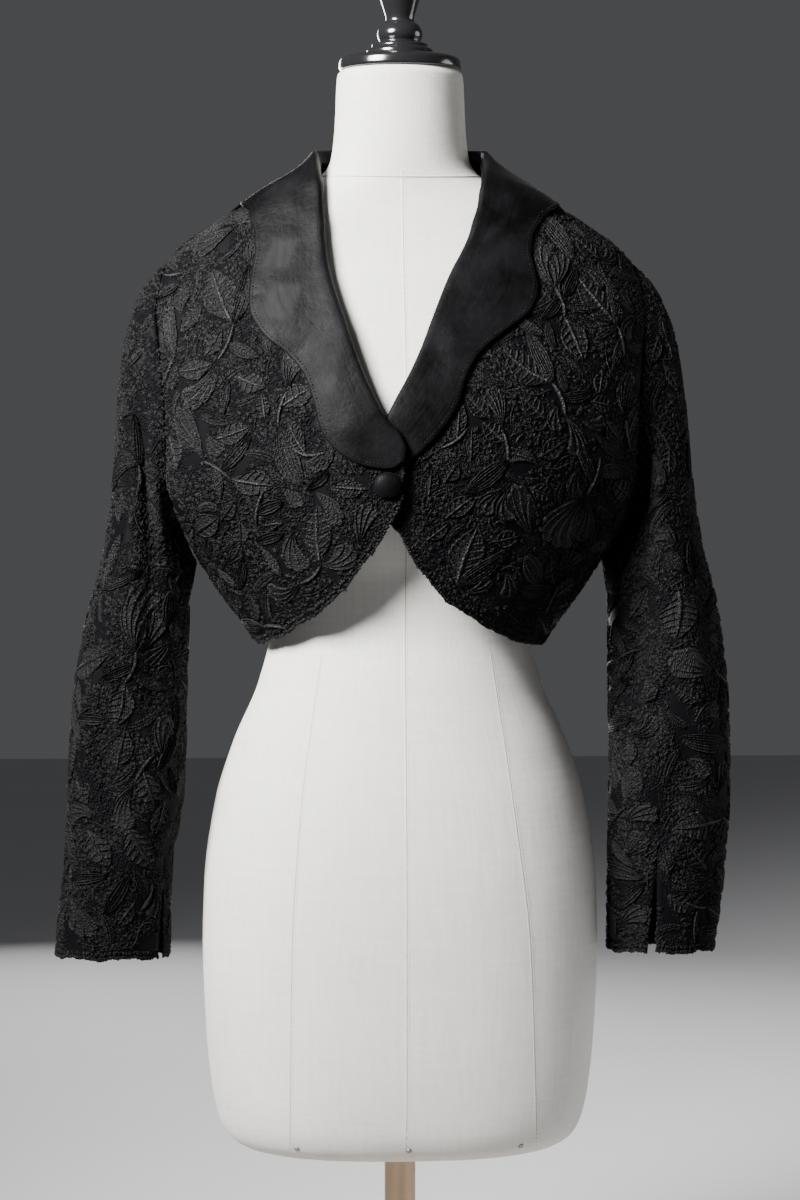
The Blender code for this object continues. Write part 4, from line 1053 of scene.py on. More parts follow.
def leaf_motif(length, width, ribs, height, bend):
    """A pointed leaf: a raised midrib, ribs nested along it on both sides, and a corded edge."""
    half_t, half_rise = lobes(ribs, 0.07, 1.0)
    t = np.concatenate([-half_t[::-1], [0.0], half_t])
    profile = np.concatenate([half_rise[::-1], [1.0], half_rise])
    s = np.array([0.0, 0.05, 0.14, 0.26, 0.39, 0.52, 0.65, 0.77, 0.87, 0.95, 1.0])
    taper = np.array([0.2, 0.8, 0.95, 1.0, 1.0, 1.0, 1.0, 0.95, 0.9, 0.75, 0.2])
    half = width / 2 * np.sin(math.pi * s**0.86) ** 0.72
    half[0] = 0.35
    half[-1] = 0.2
    teeth = 1 + 0.045 * np.where(np.arange(len(s)) % 2, 1.0, -1.0)
    y = np.outer(half, t) * np.where(np.abs(t) > 0.9, teeth[:, None], 1.0)
    x = np.outer(length * s, np.ones_like(t)) + 0.10 * np.abs(y)
    y = y + bend * (x / length) ** 2 * length
    rise = np.outer(taper, profile)
    strands = np.stack([x, y], axis=-1).reshape(-1, 2)
    shape = np.stack([x, y, height * rise], axis=-1).reshape(-1, 3)
    lit = np.clip(rise**1.5, 0, 1).ravel()
    return Motif(shape, grid_faces(len(t) - 1, len(s) - 1, True), strands, lit)


def veined_motif(length, width, veins, height, bend):
    """A broad pointed leaf whose curved veins leave the midrib and end in the scallops of its edge."""
    s, profile = lobes(veins, 0.02, 1.0)
    t = np.array([0.0, 0.06, 0.11, 0.30, 0.52, 0.72, 0.86, 0.94, 1.0])
    across = np.array([1.0, 0.95, 0.0, 0.0, 0.0, 0.0, 0.0, 0.9, 0.0])
    t = np.concatenate([-t[:0:-1], t])
    across = np.concatenate([across[:0:-1], across])
    away = np.abs(t)[None]
    along = s[:, None]
    scallop = np.abs(np.sin(math.pi * np.clip(along, 0, 0.9999) * veins)) ** 0.6
    half = width / 2 * np.sin(math.pi * np.clip(along, 0.006, 0.994) ** 0.74) ** 0.78
    half = half * (1 - 0.13 * (1 - scallop) * (away > 0.9))
    y = half * t[None]
    x = length * along + 0.42 * np.abs(y) * (1 - along) + 0.10 * length * (away**1.6) * (1 - along)
    y = y + bend * (x / length) ** 2 * length
    end = np.clip(np.minimum(along, 1 - along) * 14, 0.15, 1)
    flank = np.where(away >= 1, 0.0, profile[:, None] * np.clip((away - 0.08) * 9, 0, 1))
    rise = np.maximum(flank * 0.92, across[None]) * end
    rise = np.where(away >= 1, 0.0, rise)
    strands = np.stack([y, x], axis=-1).reshape(-1, 2)
    shape = np.stack([x, y, height * rise], axis=-1).reshape(-1, 3)
    lit = np.clip(rise**1.5, 0, 1).ravel()
    return Motif(shape, grid_faces(len(t) - 1, len(s) - 1, True), strands, lit)


def seed_motif(length, width, height):
    """One fat stitch of thread, drawn with four faces."""
    a, b, c = length / 2, length * 0.22, width / 2
    rim = [(-a, 0, 0), (-b, -c, 0), (b, -c, 0), (a, 0, 0), (b, c, 0), (-b, c, 0)]
    shape = np.array([*rim, (-b, 0, height), (b, 0, height)], float)
    faces = np.array([[0, 1, 6, 5], [1, 2, 7, 6], [2, 3, 4, 7], [5, 6, 7, 4]])
    # Painted light: the stitch's ridge is painted lighter than its foot
    rise = np.array([0.1] * len(rim) + [0.85, 0.85])
    return Motif(shape, faces, shape[:, :2], rise)


def dome(width, height, sides):
    """A low closed dome, as points and faces. sides is even."""
    turn = np.linspace(0, 2 * math.pi, sides, endpoint=False)
    rim = np.stack([width / 2 * np.cos(turn), width / 2 * np.sin(turn), 0 * turn], axis=1)
    shoulder = rim * [0.68, 0.68, 1] + [0, 0, height * 0.72]
    points = np.concatenate([rim, shoulder, [[0.0, 0.0, height], [0.0, 0.0, 0.0]]])
    ids = np.arange(sides)
    after = np.roll(ids, -1)
    pairs = np.arange(0, sides, 2)
    beyond = (pairs + 2) % sides
    top = np.full(len(pairs), 2 * sides)
    flank = np.stack([ids, after, after + sides, ids + sides], axis=1)
    crown = np.stack([pairs + sides, pairs + 1 + sides, beyond + sides, top], axis=1)
    foot = np.stack([after, ids, np.full(sides, 2 * sides + 1)], axis=1)
    return points, [np.concatenate([flank, crown]), foot]


def floret_motif(radius, petals, height):
    """A small flower of pointed petals round a knot, in a few dozen faces."""
    count = 2 * petals
    turn = 2 * math.pi * np.arange(count) / count
    on_petal = np.arange(count) % 2 == 0
    rings = [
        (np.where(on_petal, radius, radius * 0.52), 0.0 * turn),
        (np.where(on_petal, radius * 0.66, radius * 0.36), np.where(on_petal, height, height * 0.12)),
        (np.full(count, radius * 0.26), np.full(count, height * 0.35)),
    ]
    points = [np.stack([r * np.cos(turn), r * np.sin(turn), h], axis=1) for r, h in rings]
    shape = np.concatenate([*points, [[0.0, 0.0, height * 1.35]]])
    ids = np.arange(count)
    after = np.roll(ids, -1)
    quads = [np.stack([k + ids, k + after, k + after + count, k + ids + count], axis=1) for k in (0, count)]
    pairs = np.arange(0, count, 2) + 2 * count
    beyond = (np.arange(0, count, 2) + 2) % count + 2 * count
    quads.append(np.stack([pairs, pairs + 1, beyond, np.full(len(pairs), 3 * count)], axis=1))
    # Painted light: each point is painted lighter with its height
    rise = np.clip(shape[:, 2] / height * 0.9 + 0.08, 0, 1)
    return Motif(shape, np.concatenate(quads), shape[:, :2], rise)


def spin(turn):
    """The 2 by 2 matrix that turns rows of x and y."""
    return np.array([[math.cos(turn), math.sin(turn)], [-math.sin(turn), math.cos(turn)]])


def moved(motif, x, y, turn):
    shape = motif.shape.copy()
    shape[:, :2] = shape[:, :2] @ spin(turn) + [x, y]
    return motif._replace(shape=shape)


def dimmed(motif, share):
    return motif._replace(rise=motif.rise * share)


def mirrored(motif):
    """The motif turned over its own x axis, with its faces still upward."""
    shape = motif.shape * [1, -1, 1]
    return motif._replace(shape=shape, faces=motif.faces[:, ::-1])


def joined(motifs):
    """Several motifs as one."""
    count = 0
    faces = []
    for motif in motifs:
        faces.append(motif.faces + count)
        count += len(motif.shape)
    return Motif(
        np.concatenate([motif.shape for motif in motifs]),
        np.concatenate(faces),
        np.concatenate([motif.strands for motif in motifs]),
        np.concatenate([motif.rise for motif in motifs]),
    )


def cord_motif(points, width, height):
    """A cord of couched thread along a line of points."""
    points = np.asarray(points, float)
    way = unit(np.gradient(points, axis=0))
    aside = np.stack([-way[:, 1], way[:, 0]], axis=1)
    across = np.array([-1.0, -0.5, 0.5, 1.0])
    rise_at = np.array([0.0, 1.0, 1.0, 0.0])
    from_end = np.minimum(np.arange(len(points)), np.arange(len(points))[::-1])
    taper = np.clip(0.35 + from_end / 2, 0.35, 1)
    flat = points[:, None] - aside[:, None] * (across[None, :, None] * width / 2 * taper[:, None, None])
    h = height * rise_at[None] * taper[:, None]
    shape = np.concatenate([flat, h[..., None]], axis=-1).reshape(-1, 3)
    run = np.concatenate([[0], np.cumsum(np.linalg.norm(np.diff(points, axis=0), axis=1))])
    aside_by = across[None] * width
    strands = np.stack([run[:, None] + 0.6 * aside_by, 0 * run[:, None] + aside_by], axis=-1)
    lit_at = np.broadcast_to(0.12 + 0.8 * rise_at[None], h.shape)
    return Motif(shape, grid_faces(3, len(points) - 1), strands.reshape(-1, 2), lit_at.ravel())


def walked(length, turn):
    """The points of a line from the origin that heads each way in turn, in equal steps."""
    step = length / (len(turn) - 1)
    x = np.concatenate([[0], np.cumsum(np.cos(turn[:-1]) * step)])
    y = np.concatenate([[0], np.cumsum(np.sin(turn[:-1]) * step)])
    return np.stack([x, y], axis=1)


def arc_points(length, bend, count):
    """A line that starts along x and bends by the given angle over its length, with its headings."""
    turn = bend * np.linspace(0, 1, count)
    return walked(length, turn), turn


def fern_motif(length, bend, leaflet, height):
    """A curved stem with close pairs of slim stitches that shrink to its tip, like a feather."""
    pairs = max(4, int(length / 1.9))
    stem, turn = arc_points(length, bend, pairs + 2)
    parts = [cord_motif(stem[::2] if len(stem) > 6 else stem, 1.5, height)]
    for k in range(1, pairs + 1):
        size = leaflet * (0.45 + 0.55 * math.sin(math.pi * (0.25 + 0.72 * k / pairs)))
        stitch = seed_motif(size, 1.35, height)
        for side in (1, -1):
            angle = turn[k] + side * 0.72
            x = stem[k, 0] + math.cos(angle) * size * 0.52
            y = stem[k, 1] + math.sin(angle) * size * 0.52
            parts.append(moved(stitch, x, y, angle))
    parts.append(moved(seed_motif(leaflet * 0.8, 1.5, height * 0.9), *stem[-1], turn[-1]))
    return joined(parts)


def spray_motif(length, bend, radius, height):
    """A thin stem with florets in turn on both its sides."""
    count = max(3, int(length / (radius * 1.45)))
    stem, turn = arc_points(length, bend, count + 2)
    parts = [cord_motif(stem, 1.1, height * 0.6)]
    flower = floret_motif(radius, 5, height)
    for k in range(1, count + 2):
        side = 1 if k % 2 else -1
        angle = turn[k] + side * 1.25
        reach = radius * (1.25 if k <= count else 0.2)
        x = stem[k, 0] + math.cos(angle) * reach
        y = stem[k, 1] + math.sin(angle) * reach
        parts.append(moved(flower, x, y, angle + 0.4 * k))
    return joined(parts)


def vine_motif(length, swing, phase, height):
    """A thin wandering cord with slim leaflets on both its sides and a floret at its end."""
    count = max(6, int(length / 2.6))
    share = np.linspace(0, 1, count)
    turn = swing * np.sin(2 * math.pi * share * length / 42 + phase) - swing * math.sin(phase)
    stem = walked(length, turn)
    x, y = stem.T
    parts = [cord_motif(stem, 1.5, height)]
    leaflet = seed_motif(5.0, 1.9, height * 0.9)
    for k in range(1, count - 1):
        angle = turn[k] + (0.8 if k % 2 else -0.8)
        parts.append(moved(leaflet, x[k] + math.cos(angle) * 2.7, y[k] + math.sin(angle) * 2.7, angle))
    parts.append(moved(floret_motif(3.0, 5, height), x[-1], y[-1], phase))
    return joined(parts)


MAP_CELL = 1.1
BARE_OVER = 0.90
NUBS_UNDER = 0.62
BETWEEN = (1 / 6, 1 / 2, 5 / 6)
# How deep a motif's foot sits in the cloth, and how high lace may stand under the collar
SUNK = 0.12
UNDER_COLLAR_RISE = 0.45
LARGE_MOTIF = 12
# How much of a motif may meet others that are already laid, from 0 to 1
LEAF_MEETS = 0.16
STEM_MEETS = 0.5
FILL_MEETS = 0.08
SMALL_MEETS = 0.12
# Places tried for each kind of small motif, and the spacing of the nubs
FILL_TRIES = 150
CURL_TRIES = 150
FLORET_TRIES = 420
NUB_SPACING = 3.1


class Lace:
    """The raised lace of one panel. A map of the cloth's plane keeps the motifs from crossing."""

    def __init__(self, cloth, seed, thickness, may_carry=None, ceiling=None):
        self.cloth = cloth
        self.draw = np.random.default_rng(seed)
        self.thickness = thickness
        self.ceiling = ceiling
        wide, long = cloth.size()
        self.rows = max(8, round(long / MAP_CELL))
        self.columns = max(8, round(wide / MAP_CELL))
        v = (np.arange(self.rows)[:, None] + 0.5) / self.rows + np.zeros((1, self.columns))
        u = (np.arange(self.columns)[None] + 0.5) / self.columns + np.zeros((self.rows, 1))
        places = cloth.at(u, v, np.zeros_like(u))
        self.taken = np.zeros(u.shape, bool)
        if may_carry is not None:
            self.taken = ~may_carry(places)
        self.openness = self.wander(40.0)
        openness = self.openness(places)
        self.bare = openness > BARE_OVER
        self.nubbed = openness < NUBS_UNDER
        self.flow = self.wander(90.0)(places) * 2.2 * math.pi
        self.shapes = []
        self.faces = []
        self.strands = []
        self.rise = []
        self.count = 0

    def wander(self, size):
        """A soft irregular pattern in space, from 0 to 1, whose features have this size."""
        ways = unit(self.draw.normal(size=(7, 3)))
        phases = self.draw.uniform(0, 2 * math.pi, 7)
        lengths = size * self.draw.uniform(0.7, 1.5, 7)

        def at(places):
            waves = np.sin(places @ ways.T * 2 * math.pi / lengths + phases)
            return 0.5 + 0.5 * np.tanh(waves.sum(-1) / 2.2)

        return at

    def cells(self, flat):
        i = np.clip((flat[..., 0] * self.columns).astype(int), 0, self.columns - 1)
        j = np.clip((flat[..., 1] * self.rows).astype(int), 0, self.rows - 1)
        return j, i

    def mark(self, flat, faces):
        """Marks the cells that the faces cover."""
        corners = flat[faces]
        marked = np.zeros_like(self.taken)
        for s in BETWEEN:
            for t in BETWEEN:
                low = corners[:, 0] * (1 - s) + corners[:, 1] * s
                high = corners[:, 3] * (1 - s) + corners[:, 2] * s
                marked[self.cells(low * (1 - t) + high * t)] = True
        marked[self.cells(flat)] = True
        self.taken |= marked

    def lay(self, motif, u, v, turn, slack, past=0.004):
        """Lays a motif at u, v unless too much of it meets the others."""
        to_uv = self.cloth.plane_at(u, v)
        flat = motif.shape[:, :2] @ spin(turn) @ to_uv.T + [u, v]
        if flat.min() < -past or flat.max() > 1 + past:
            return False
        if self.taken[self.cells(flat)].mean() > slack or self.stretched(motif, flat):
            return False
        self.mark(flat, motif.faces)
        height = self.heights(flat, motif.shape[:, 2])
        self.shapes.append(self.cloth.at(flat[:, 0], flat[:, 1], height, past))
        faces = motif.faces if self.cloth.outward > 0 else motif.faces[:, ::-1]
        self.faces.append(faces + self.count)
        self.strands.append(motif.strands)
        self.rise.append(motif.rise)
        self.count += len(motif.shape)
        return True

    def stretched(self, motif, flat):
        """Whether the cloth's own shape would pull a large motif out of its proportions."""
        if np.ptp(motif.shape[:, 0]) < LARGE_MOTIF:
            return False
        for axis in (0, 1):
            ends = [int(np.argmin(motif.shape[:, axis])), int(np.argmax(motif.shape[:, axis]))]
            drawn = np.linalg.norm(np.diff(motif.shape[ends, :2], axis=0))
            places = self.cloth.at(flat[ends, 0], flat[ends, 1], np.zeros(2), 0.004)
            laid = np.linalg.norm(np.diff(places, axis=0))
            if not 0.72 < laid / drawn < 1.22:
                return True
        return False

    def heights(self, flat, h):
        raised_by = self.thickness - SUNK + h
        if self.ceiling is None:
            return raised_by
        places = self.cloth.at(flat[:, 0], flat[:, 1], np.zeros(len(flat)))
        lowered = np.minimum(raised_by, self.thickness + UNDER_COLLAR_RISE)
        return np.where(self.ceiling(places), lowered, raised_by)

    def open_place(self, keep_bare):
        """A random place of the map that is still free."""
        free = ~self.taken & ~self.bare if keep_bare else ~self.taken
        rows, columns = np.nonzero(free)
        pick = self.draw.integers(0, len(rows), 512)
        for k in pick:
            u = (columns[k] + self.draw.uniform()) / self.columns
            v = (rows[k] + self.draw.uniform()) / self.rows
            yield u, v

    def scatter(self, tries, draw_motif, slack, lit, keep_bare=False):
        """Lays drawn motifs on free places. lit is the low and high of a random scale on each motif's
        painted light.
        """
        done = 0
        while done < tries:
            for u, v in self.open_place(keep_bare):
                turn = self.draw.uniform(0, 2 * math.pi)
                self.lay(dimmed(draw_motif(), self.draw.uniform(*lit)), u, v, turn, slack)
                done += 1
                if done >= tries:
                    break

    def border(self, v_edge, height):
        """Close stitches over a hem, so that its edge is thick and a little rough."""
        wide, long = self.cloth.size()
        inward = 1.0 if v_edge < 0.5 else -1.0
        count = int(wide / 1.75)
        for row, (inset, length) in enumerate(((1.6, 4.2), (5.4, 4.6))):
            for k in range(count):
                u = (k + 0.5 + 0.5 * row) / (count + 1) + self.draw.normal() * 0.0006
                v = v_edge + inward * (inset + self.draw.normal() * 0.45) / long
                long_by = self.draw.uniform(0.8, 1.25)
                stitch = seed_motif(length * long_by, 1.9, height * self.draw.uniform(0.6, 1.0))
                turn = math.pi / 2 + self.draw.normal() * 0.28
                self.lay(stitch, u, v, turn, 1.0 if row == 0 else 0.5, 0.007)

    def nubs(self, spacing, height):
        """Covers what is still free with short fat stitches that lean with the flow."""
        step = spacing / MAP_CELL
        j, i = np.meshgrid(np.arange(0, self.rows, step), np.arange(0, self.columns, step), indexing="ij")
        j = np.clip(j + self.draw.uniform(-0.45, 0.45, j.shape) * step, 0, self.rows - 0.01)
        i = np.clip(i + self.draw.uniform(-0.45, 0.45, i.shape) * step, 0, self.columns - 0.01)
        cell = j.astype(int), i.astype(int)
        free = ~self.taken[cell] & self.nubbed[cell]
        u = i[free] / self.columns
        v = j[free] / self.rows
        turn = self.flow[cell][free] + self.draw.normal(size=len(u)) * 0.5
        size = self.draw.uniform(0.7, 1.3, len(u))[:, None]
        nub = seed_motif(spacing * 1.5, spacing * 0.62, height)
        first = unit(self.cloth.spread(self.cloth.along, u, v))
        normal = unit(self.cloth.spread(self.cloth.normals, u, v))
        second = np.cross(normal, first)
        x = size * (nub.shape[:, 0] * np.cos(turn)[:, None] - nub.shape[:, 1] * np.sin(turn)[:, None])
        y = size * (nub.shape[:, 0] * np.sin(turn)[:, None] + nub.shape[:, 1] * np.cos(turn)[:, None])
        z = nub.shape[:, 2] * size * self.draw.uniform(0.6, 1.1, len(u))[:, None]
        place = self.cloth.at(u, v, self.heights(np.stack([u, v], axis=-1), np.zeros(len(u))))
        points = place[:, None] + x[..., None] * first[:, None] + y[..., None] * second[:, None]
        points = points + z[..., None] * normal[:, None]
        self.shapes.append(points.reshape(-1, 3))
        each = np.arange(len(u))[:, None, None] * len(nub.shape)
        self.faces.append((nub.faces[None] + each).reshape(-1, 4) + self.count)
        self.strands.append(np.tile(nub.strands, (len(u), 1)))
        # Scale on each nub's painted light, dimmer than the leaves
        lit = self.draw.uniform(0.15, 0.6, len(u))[:, None]
        self.rise.append(np.clip(nub.rise * lit, 0, 1).ravel())
        self.count += len(u) * len(nub.shape)

    def piece(self, name, lit):
        return new_mesh(
            name,
            np.concatenate(self.shapes),
            [np.concatenate(self.faces)],
            np.concatenate(self.strands),
            np.concatenate(self.rise) * lit,
        )


SprigPart = namedtuple("SprigPart", "kind at away length width ribs bend")
SPRIGS = [
    table(
        SprigPart,
        ("wing", 0.0, 2.75, 60, 1.00, 5, 0.42), ("wing", 0.0, 3.95, 44, 0.95, 4, -0.30),
        ("veined", 1.0, 0.10, 42, 25, 6, 0.10), ("leaf", 0.70, -0.95, 36, 11, 2, -0.12),
        ("leaf", 0.45, 1.00, 32, 10, 2, 0.14),
    ),
    table(
        SprigPart,
        ("veined", 0.0, 2.60, 58, 33, 7, 0.10), ("leaf", 0.0, 3.50, 54, 15, 3, -0.16),
        ("wing", 0.0, 4.25, 38, 0.90, 4, -0.35), ("wing", 1.0, 0.10, 40, 0.90, 4, 0.30),
        ("leaf", 0.55, -0.95, 32, 10, 2, -0.12),
    ),
    table(
        SprigPart,
        ("leaf", 0.0, 2.35, 58, 16, 3, 0.20), ("leaf", 0.0, 2.90, 64, 17, 3, -0.08),
        ("leaf", 0.0, 3.45, 52, 15, 3, -0.20), ("wing", 1.0, 0.10, 42, 0.95, 5, 0.30),
        ("veined", 0.5, 1.00, 32, 20, 5, 0.10),
    ),
]


def sprig_shape(part, scale, height):
    """One wing or leaf of a sprig. width is a spread in radians for a wing."""
    if part.kind == "wing":
        return wing_motif(part.length * scale, part.width, part.ribs, height, part.bend)
    make = veined_motif if part.kind == "veined" else leaf_motif
    return make(part.length * scale, part.width * scale, part.ribs, height, part.bend)


def lay_sprig(lace, height, u, v, turn, scale, kind):
    """One large sprig: a fan of wings and leaves on a corded stem, which ends in more leaves."""
    draw = lace.draw
    side = draw.choice([-1, 1])
    stem, _turns = arc_points(30 * scale, draw.uniform(0.3, 0.9), 9)
    if side < 0:
        stem = stem * [1, -1]
    for part in SPRIGS[kind]:
        shape = sprig_shape(part, scale * draw.uniform(0.92, 1.08), height)
        place = stem[int(part.at * (len(stem) - 1))]
        if side < 0:
            shape = mirrored(shape)
        lace.lay(moved(shape, *place, side * part.away), u, v, turn, LEAF_MEETS)
    lace.lay(cord_motif(stem, 2.8, height * 1.2), u, v, turn, STEM_MEETS)


def fill_lace(lace, sizes, effort):
    """Lays the large sprigs in offset rows, then leaves, ferns, sprays and stitches between them."""
    wide, long = lace.cloth.size()
    spacing = sizes.sprig_spacing / MM
    draw = lace.draw
    height = sizes.leaf_height / MM
    rows = max(1, round(long / (spacing * 0.87)))
    columns = max(1, round(wide / spacing))
    for row in range(rows + 1):
        for column in range(columns + 1):
            u = (column + 0.25 + 0.5 * (row % 2) + draw.uniform(-0.16, 0.16)) / columns
            v = (row + 0.3 + draw.uniform(-0.16, 0.16)) / rows
            if 0.01 < u < 0.99 and 0.01 < v < 0.99:
                kind = (column + 2 * row) % len(SPRIGS)
                lay_sprig(lace, height, u, v, draw.uniform(0, 2 * math.pi), draw.uniform(0.84, 1.08), kind)

    def small_wing():
        length = draw.uniform(22, 38)
        ribs = 4 if length > 27 else 3
        wing = wing_motif(length, draw.uniform(0.8, 1.1), ribs, height, draw.uniform(0.1, 0.5))
        return mirrored(wing) if draw.uniform() < 0.5 else wing

    def veined():
        length = draw.uniform(22, 38)
        return veined_motif(length, length * draw.uniform(0.52, 0.64), 5, height, draw.uniform(-0.12, 0.12))

    def blade():
        length = draw.uniform(24, 44)
        return leaf_motif(length, length * draw.uniform(0.27, 0.36), 2, height, draw.uniform(-0.2, 0.2))

    def fern():
        bend = draw.uniform(0.4, 1.3) * draw.choice([-1, 1])
        return fern_motif(draw.uniform(18, 38), bend, draw.uniform(5.5, 8.5), height * 0.75)

    def spray():
        bend = draw.uniform(0.3, 1.1) * draw.choice([-1, 1])
        return spray_motif(draw.uniform(16, 40), bend, draw.uniform(2.7, 3.4), height)

    def vine():
        return vine_motif(draw.uniform(24, 60), draw.uniform(0.4, 0.9), draw.uniform(0, 6.3), height * 0.8)

    def floret():
        return floret_motif(draw.uniform(2.4, 3.4), 5, height)

    def curl():
        bend = draw.uniform(1.0, 2.6) * draw.choice([-1, 1])
        return cord_motif(arc_points(draw.uniform(6, 12), bend, 7)[0], 1.4, height * 0.7)

    # Scales on the painted light: the large leaves are painted brighter than the sprays, ferns and small
    # stitches
    bright = (0.70, 1.0)
    dull = (0.40, 0.75)
    for share, shapes, lit in (
        (0.5, (veined, small_wing, blade), bright),
        (0.7, (spray, fern, vine), dull),
        (0.6, (veined, small_wing, blade), bright),
        (1.4, (spray, fern, vine), dull),
        (0.8, (blade, fern), dull),
    ):
        for shape in shapes:
            lace.scatter(int(FILL_TRIES * share * effort), shape, FILL_MEETS, lit)
    lace.scatter(int(CURL_TRIES * effort), curl, SMALL_MEETS, dull, keep_bare=True)
    lace.scatter(int(FLORET_TRIES * effort), floret, SMALL_MEETS, dull, keep_bare=True)
    lace.nubs(NUB_SPACING, height * 0.6)


def knot_places(lace, count):
    """Free places of the map for loose knots, with the cloth's normal at each."""
    u, v = np.array(list(islice(lace.open_place(True), count))).T
    points = lace.cloth.at(u, v, np.full(len(u), lace.thickness))
    return points, unit(lace.cloth.spread(lace.cloth.normals, u, v))


KNOT_INPUTS = {
    "Geometry": "Geometry",
    "Knot width": "Float",
    "Sides": "Int",
    "Seed": "Int",
    "Finish": "Material",
}
KNOT_FLATNESS = (1.0, 1.0, 0.62)
KNOT_SCALES = (0.72, 1.2)


def knot_tree():
    """Geometry Nodes: a knot of thread on every point, turned and sized by the point's own values."""
    tree = bpy.data.node_groups.new("thread_knots", "GeometryNodeTree")
    for name, kind in KNOT_INPUTS.items():
        tree.interface.new_socket(name, in_out="INPUT", socket_type=f"NodeSocket{kind}")
    tree.interface.new_socket("Geometry", in_out="OUTPUT", socket_type="NodeSocketGeometry")

    def node(kind, sockets, **settings):
        """The outputs of a new node. Each socket takes a value or another node's output."""
        made = tree.nodes.new(kind)
        for name, value in settings.items():
            setattr(made, name, value)
        for name, value in sockets.items():
            if isinstance(value, bpy.types.NodeSocket):
                tree.links.new(value, made.inputs[name])
            else:
                made.inputs[name].default_value = value
        return made.outputs

    start = node("NodeGroupInput", {})
    half = node("ShaderNodeMath", {0: start["Knot width"], 1: 0.5}, operation="MULTIPLY")
    sphere = {"Rings": 3, "Segments": start["Sides"], "Radius": half[0]}
    ball = node("GeometryNodeMeshUVSphere", sphere)["Mesh"]
    flat = node("GeometryNodeTransform", {"Scale": KNOT_FLATNESS, "Geometry": ball})["Geometry"]
    named = node("GeometryNodeInputNamedAttribute", {"Name": "facing"}, data_type="FLOAT_VECTOR")
    align = node("FunctionNodeAlignRotationToVector", {"Vector": named["Attribute"]}, axis="Z")
    limits = {"Min": KNOT_SCALES[0], "Max": KNOT_SCALES[1], "Seed": start["Seed"]}
    size = node("FunctionNodeRandomValue", limits, data_type="FLOAT")["Value"]
    each = {"Points": start["Geometry"], "Instance": flat, "Rotation": align["Rotation"], "Scale": size}
    put = node("GeometryNodeInstanceOnPoints", each)["Instances"]
    real = node("GeometryNodeRealizeInstances", {"Geometry": put})["Geometry"]
    dress = {"Geometry": real, "Material": start["Finish"]}
    dressed = node("GeometryNodeSetMaterial", dress)["Geometry"]
    smooth = node("GeometryNodeSetShadeSmooth", {"Geometry": dressed})["Geometry"]
    node("NodeGroupOutput", {"Geometry": smooth})
    return tree


def set_input(modifier, tree, name, value):
    for item in tree.interface.items_tree:
        if item.name == name and item.in_out == "INPUT":
            modifier[item.identifier] = value


def grown(name, points, normals, tree, values):
    """Runs a Geometry Nodes tree on points with normals, and returns its result as a plain mesh."""
    seeds = bpy.data.meshes.new(name + "_points")
    seeds.from_pydata((points * MM).tolist(), [], [])
    facing = seeds.attributes.new("facing", "FLOAT_VECTOR", "POINT")
    facing.data.foreach_set("vector", np.asarray(normals, np.float32).ravel())
    carrier = bpy.data.objects.new(name + "_points", seeds)
    bpy.context.scene.collection.objects.link(carrier)
    grower = carrier.modifiers.new("grow", "NODES")
    grower.node_group = tree
    for key, value in values.items():
        set_input(grower, tree, key, value)
    graph = bpy.context.evaluated_depsgraph_get()
    data = bpy.data.meshes.new_from_object(carrier.evaluated_get(graph))
    data.name = name
    bpy.data.objects.remove(carrier, do_unlink=True)
    bpy.data.meshes.remove(seeds)
    piece = bpy.data.objects.new(name, data)
    bpy.context.scene.collection.objects.link(piece)
    return piece


KNOT_COUNT = 240
# The sleeves' lace is painted darker: painted shade for the lesser light on the hanging sleeves
SLEEVE_LIT = 0.78
PANEL_SEEDS = {"front_right": 1, "front_left": 2, "back": 3, "sleeve_right": 4, "sleeve_left": 5}

# Columns and rows of each cloth's grid
FRONT_GRID = (64, 80)
BACK_GRID = (100, 80)
SLEEVE_GRID = (66, 110)
COLLAR_GRID = (124, 34)


def panel_pieces(name, cloth, sizes, effort, hem, may_carry=None, ceiling=None):
    """A lace panel: its thin ground cloth, the raised lace on it, and the cut that it stands for."""
    thickness = sizes.cloth / MM
    lace = Lace(cloth, sizes.seed * 100 + PANEL_SEEDS[name], thickness, may_carry, ceiling)
    worked = 1 - smoothstep(lace.openness(cloth.points), BARE_OVER - 0.03, BARE_OVER + 0.05)
    shell = cloth_shell(f"{name}_ground", cloth, thickness, 0.0, "worked", worked)
    finished(shell, "lace", finish_named("ground"), name)
    lace.border(hem, sizes.leaf_height / MM)
    fill_lace(lace, sizes, effort)
    # Painted shade on the sleeves' lace
    lit = SLEEVE_LIT if name.startswith("sleeve") else 1.0
    raised_lace = finished(lace.piece(f"{name}_lace", lit), "lace", finish_named("thread"))
    values = {
        "Knot width": sizes.knot,
        "Sides": sizes.knot_steps,
        "Seed": sizes.seed,
        "Finish": finish_named("thread"),
    }
    knots = grown(f"{name}_knots", *knot_places(lace, KNOT_COUNT), knot_tree(), values)
    finished(knots, "lace", finish_named("thread"))
    cloth.area() * MM * MM


def ragged_edge(seed, v_edge, reach, amount, period):
    """Moves a hem a little in and out, as the lace's cut edge does."""
    draw = np.random.default_rng(seed)
    phases = draw.uniform(0, 2 * math.pi, 4)

    def move(u, v, points):
        up = np.gradient(points, axis=0)
        way = unit(up)
        near = np.clip(1 - np.abs(v - v_edge) / reach, 0, 1) ** 2
        run = u * period
        wave = np.sin(run + phases[0]) + 0.6 * np.sin(2.3 * run + phases[1])
        wave = wave + 0.5 * np.sin(4.1 * run + phases[2])
        return way * (near * wave * amount)[..., None]

    return move


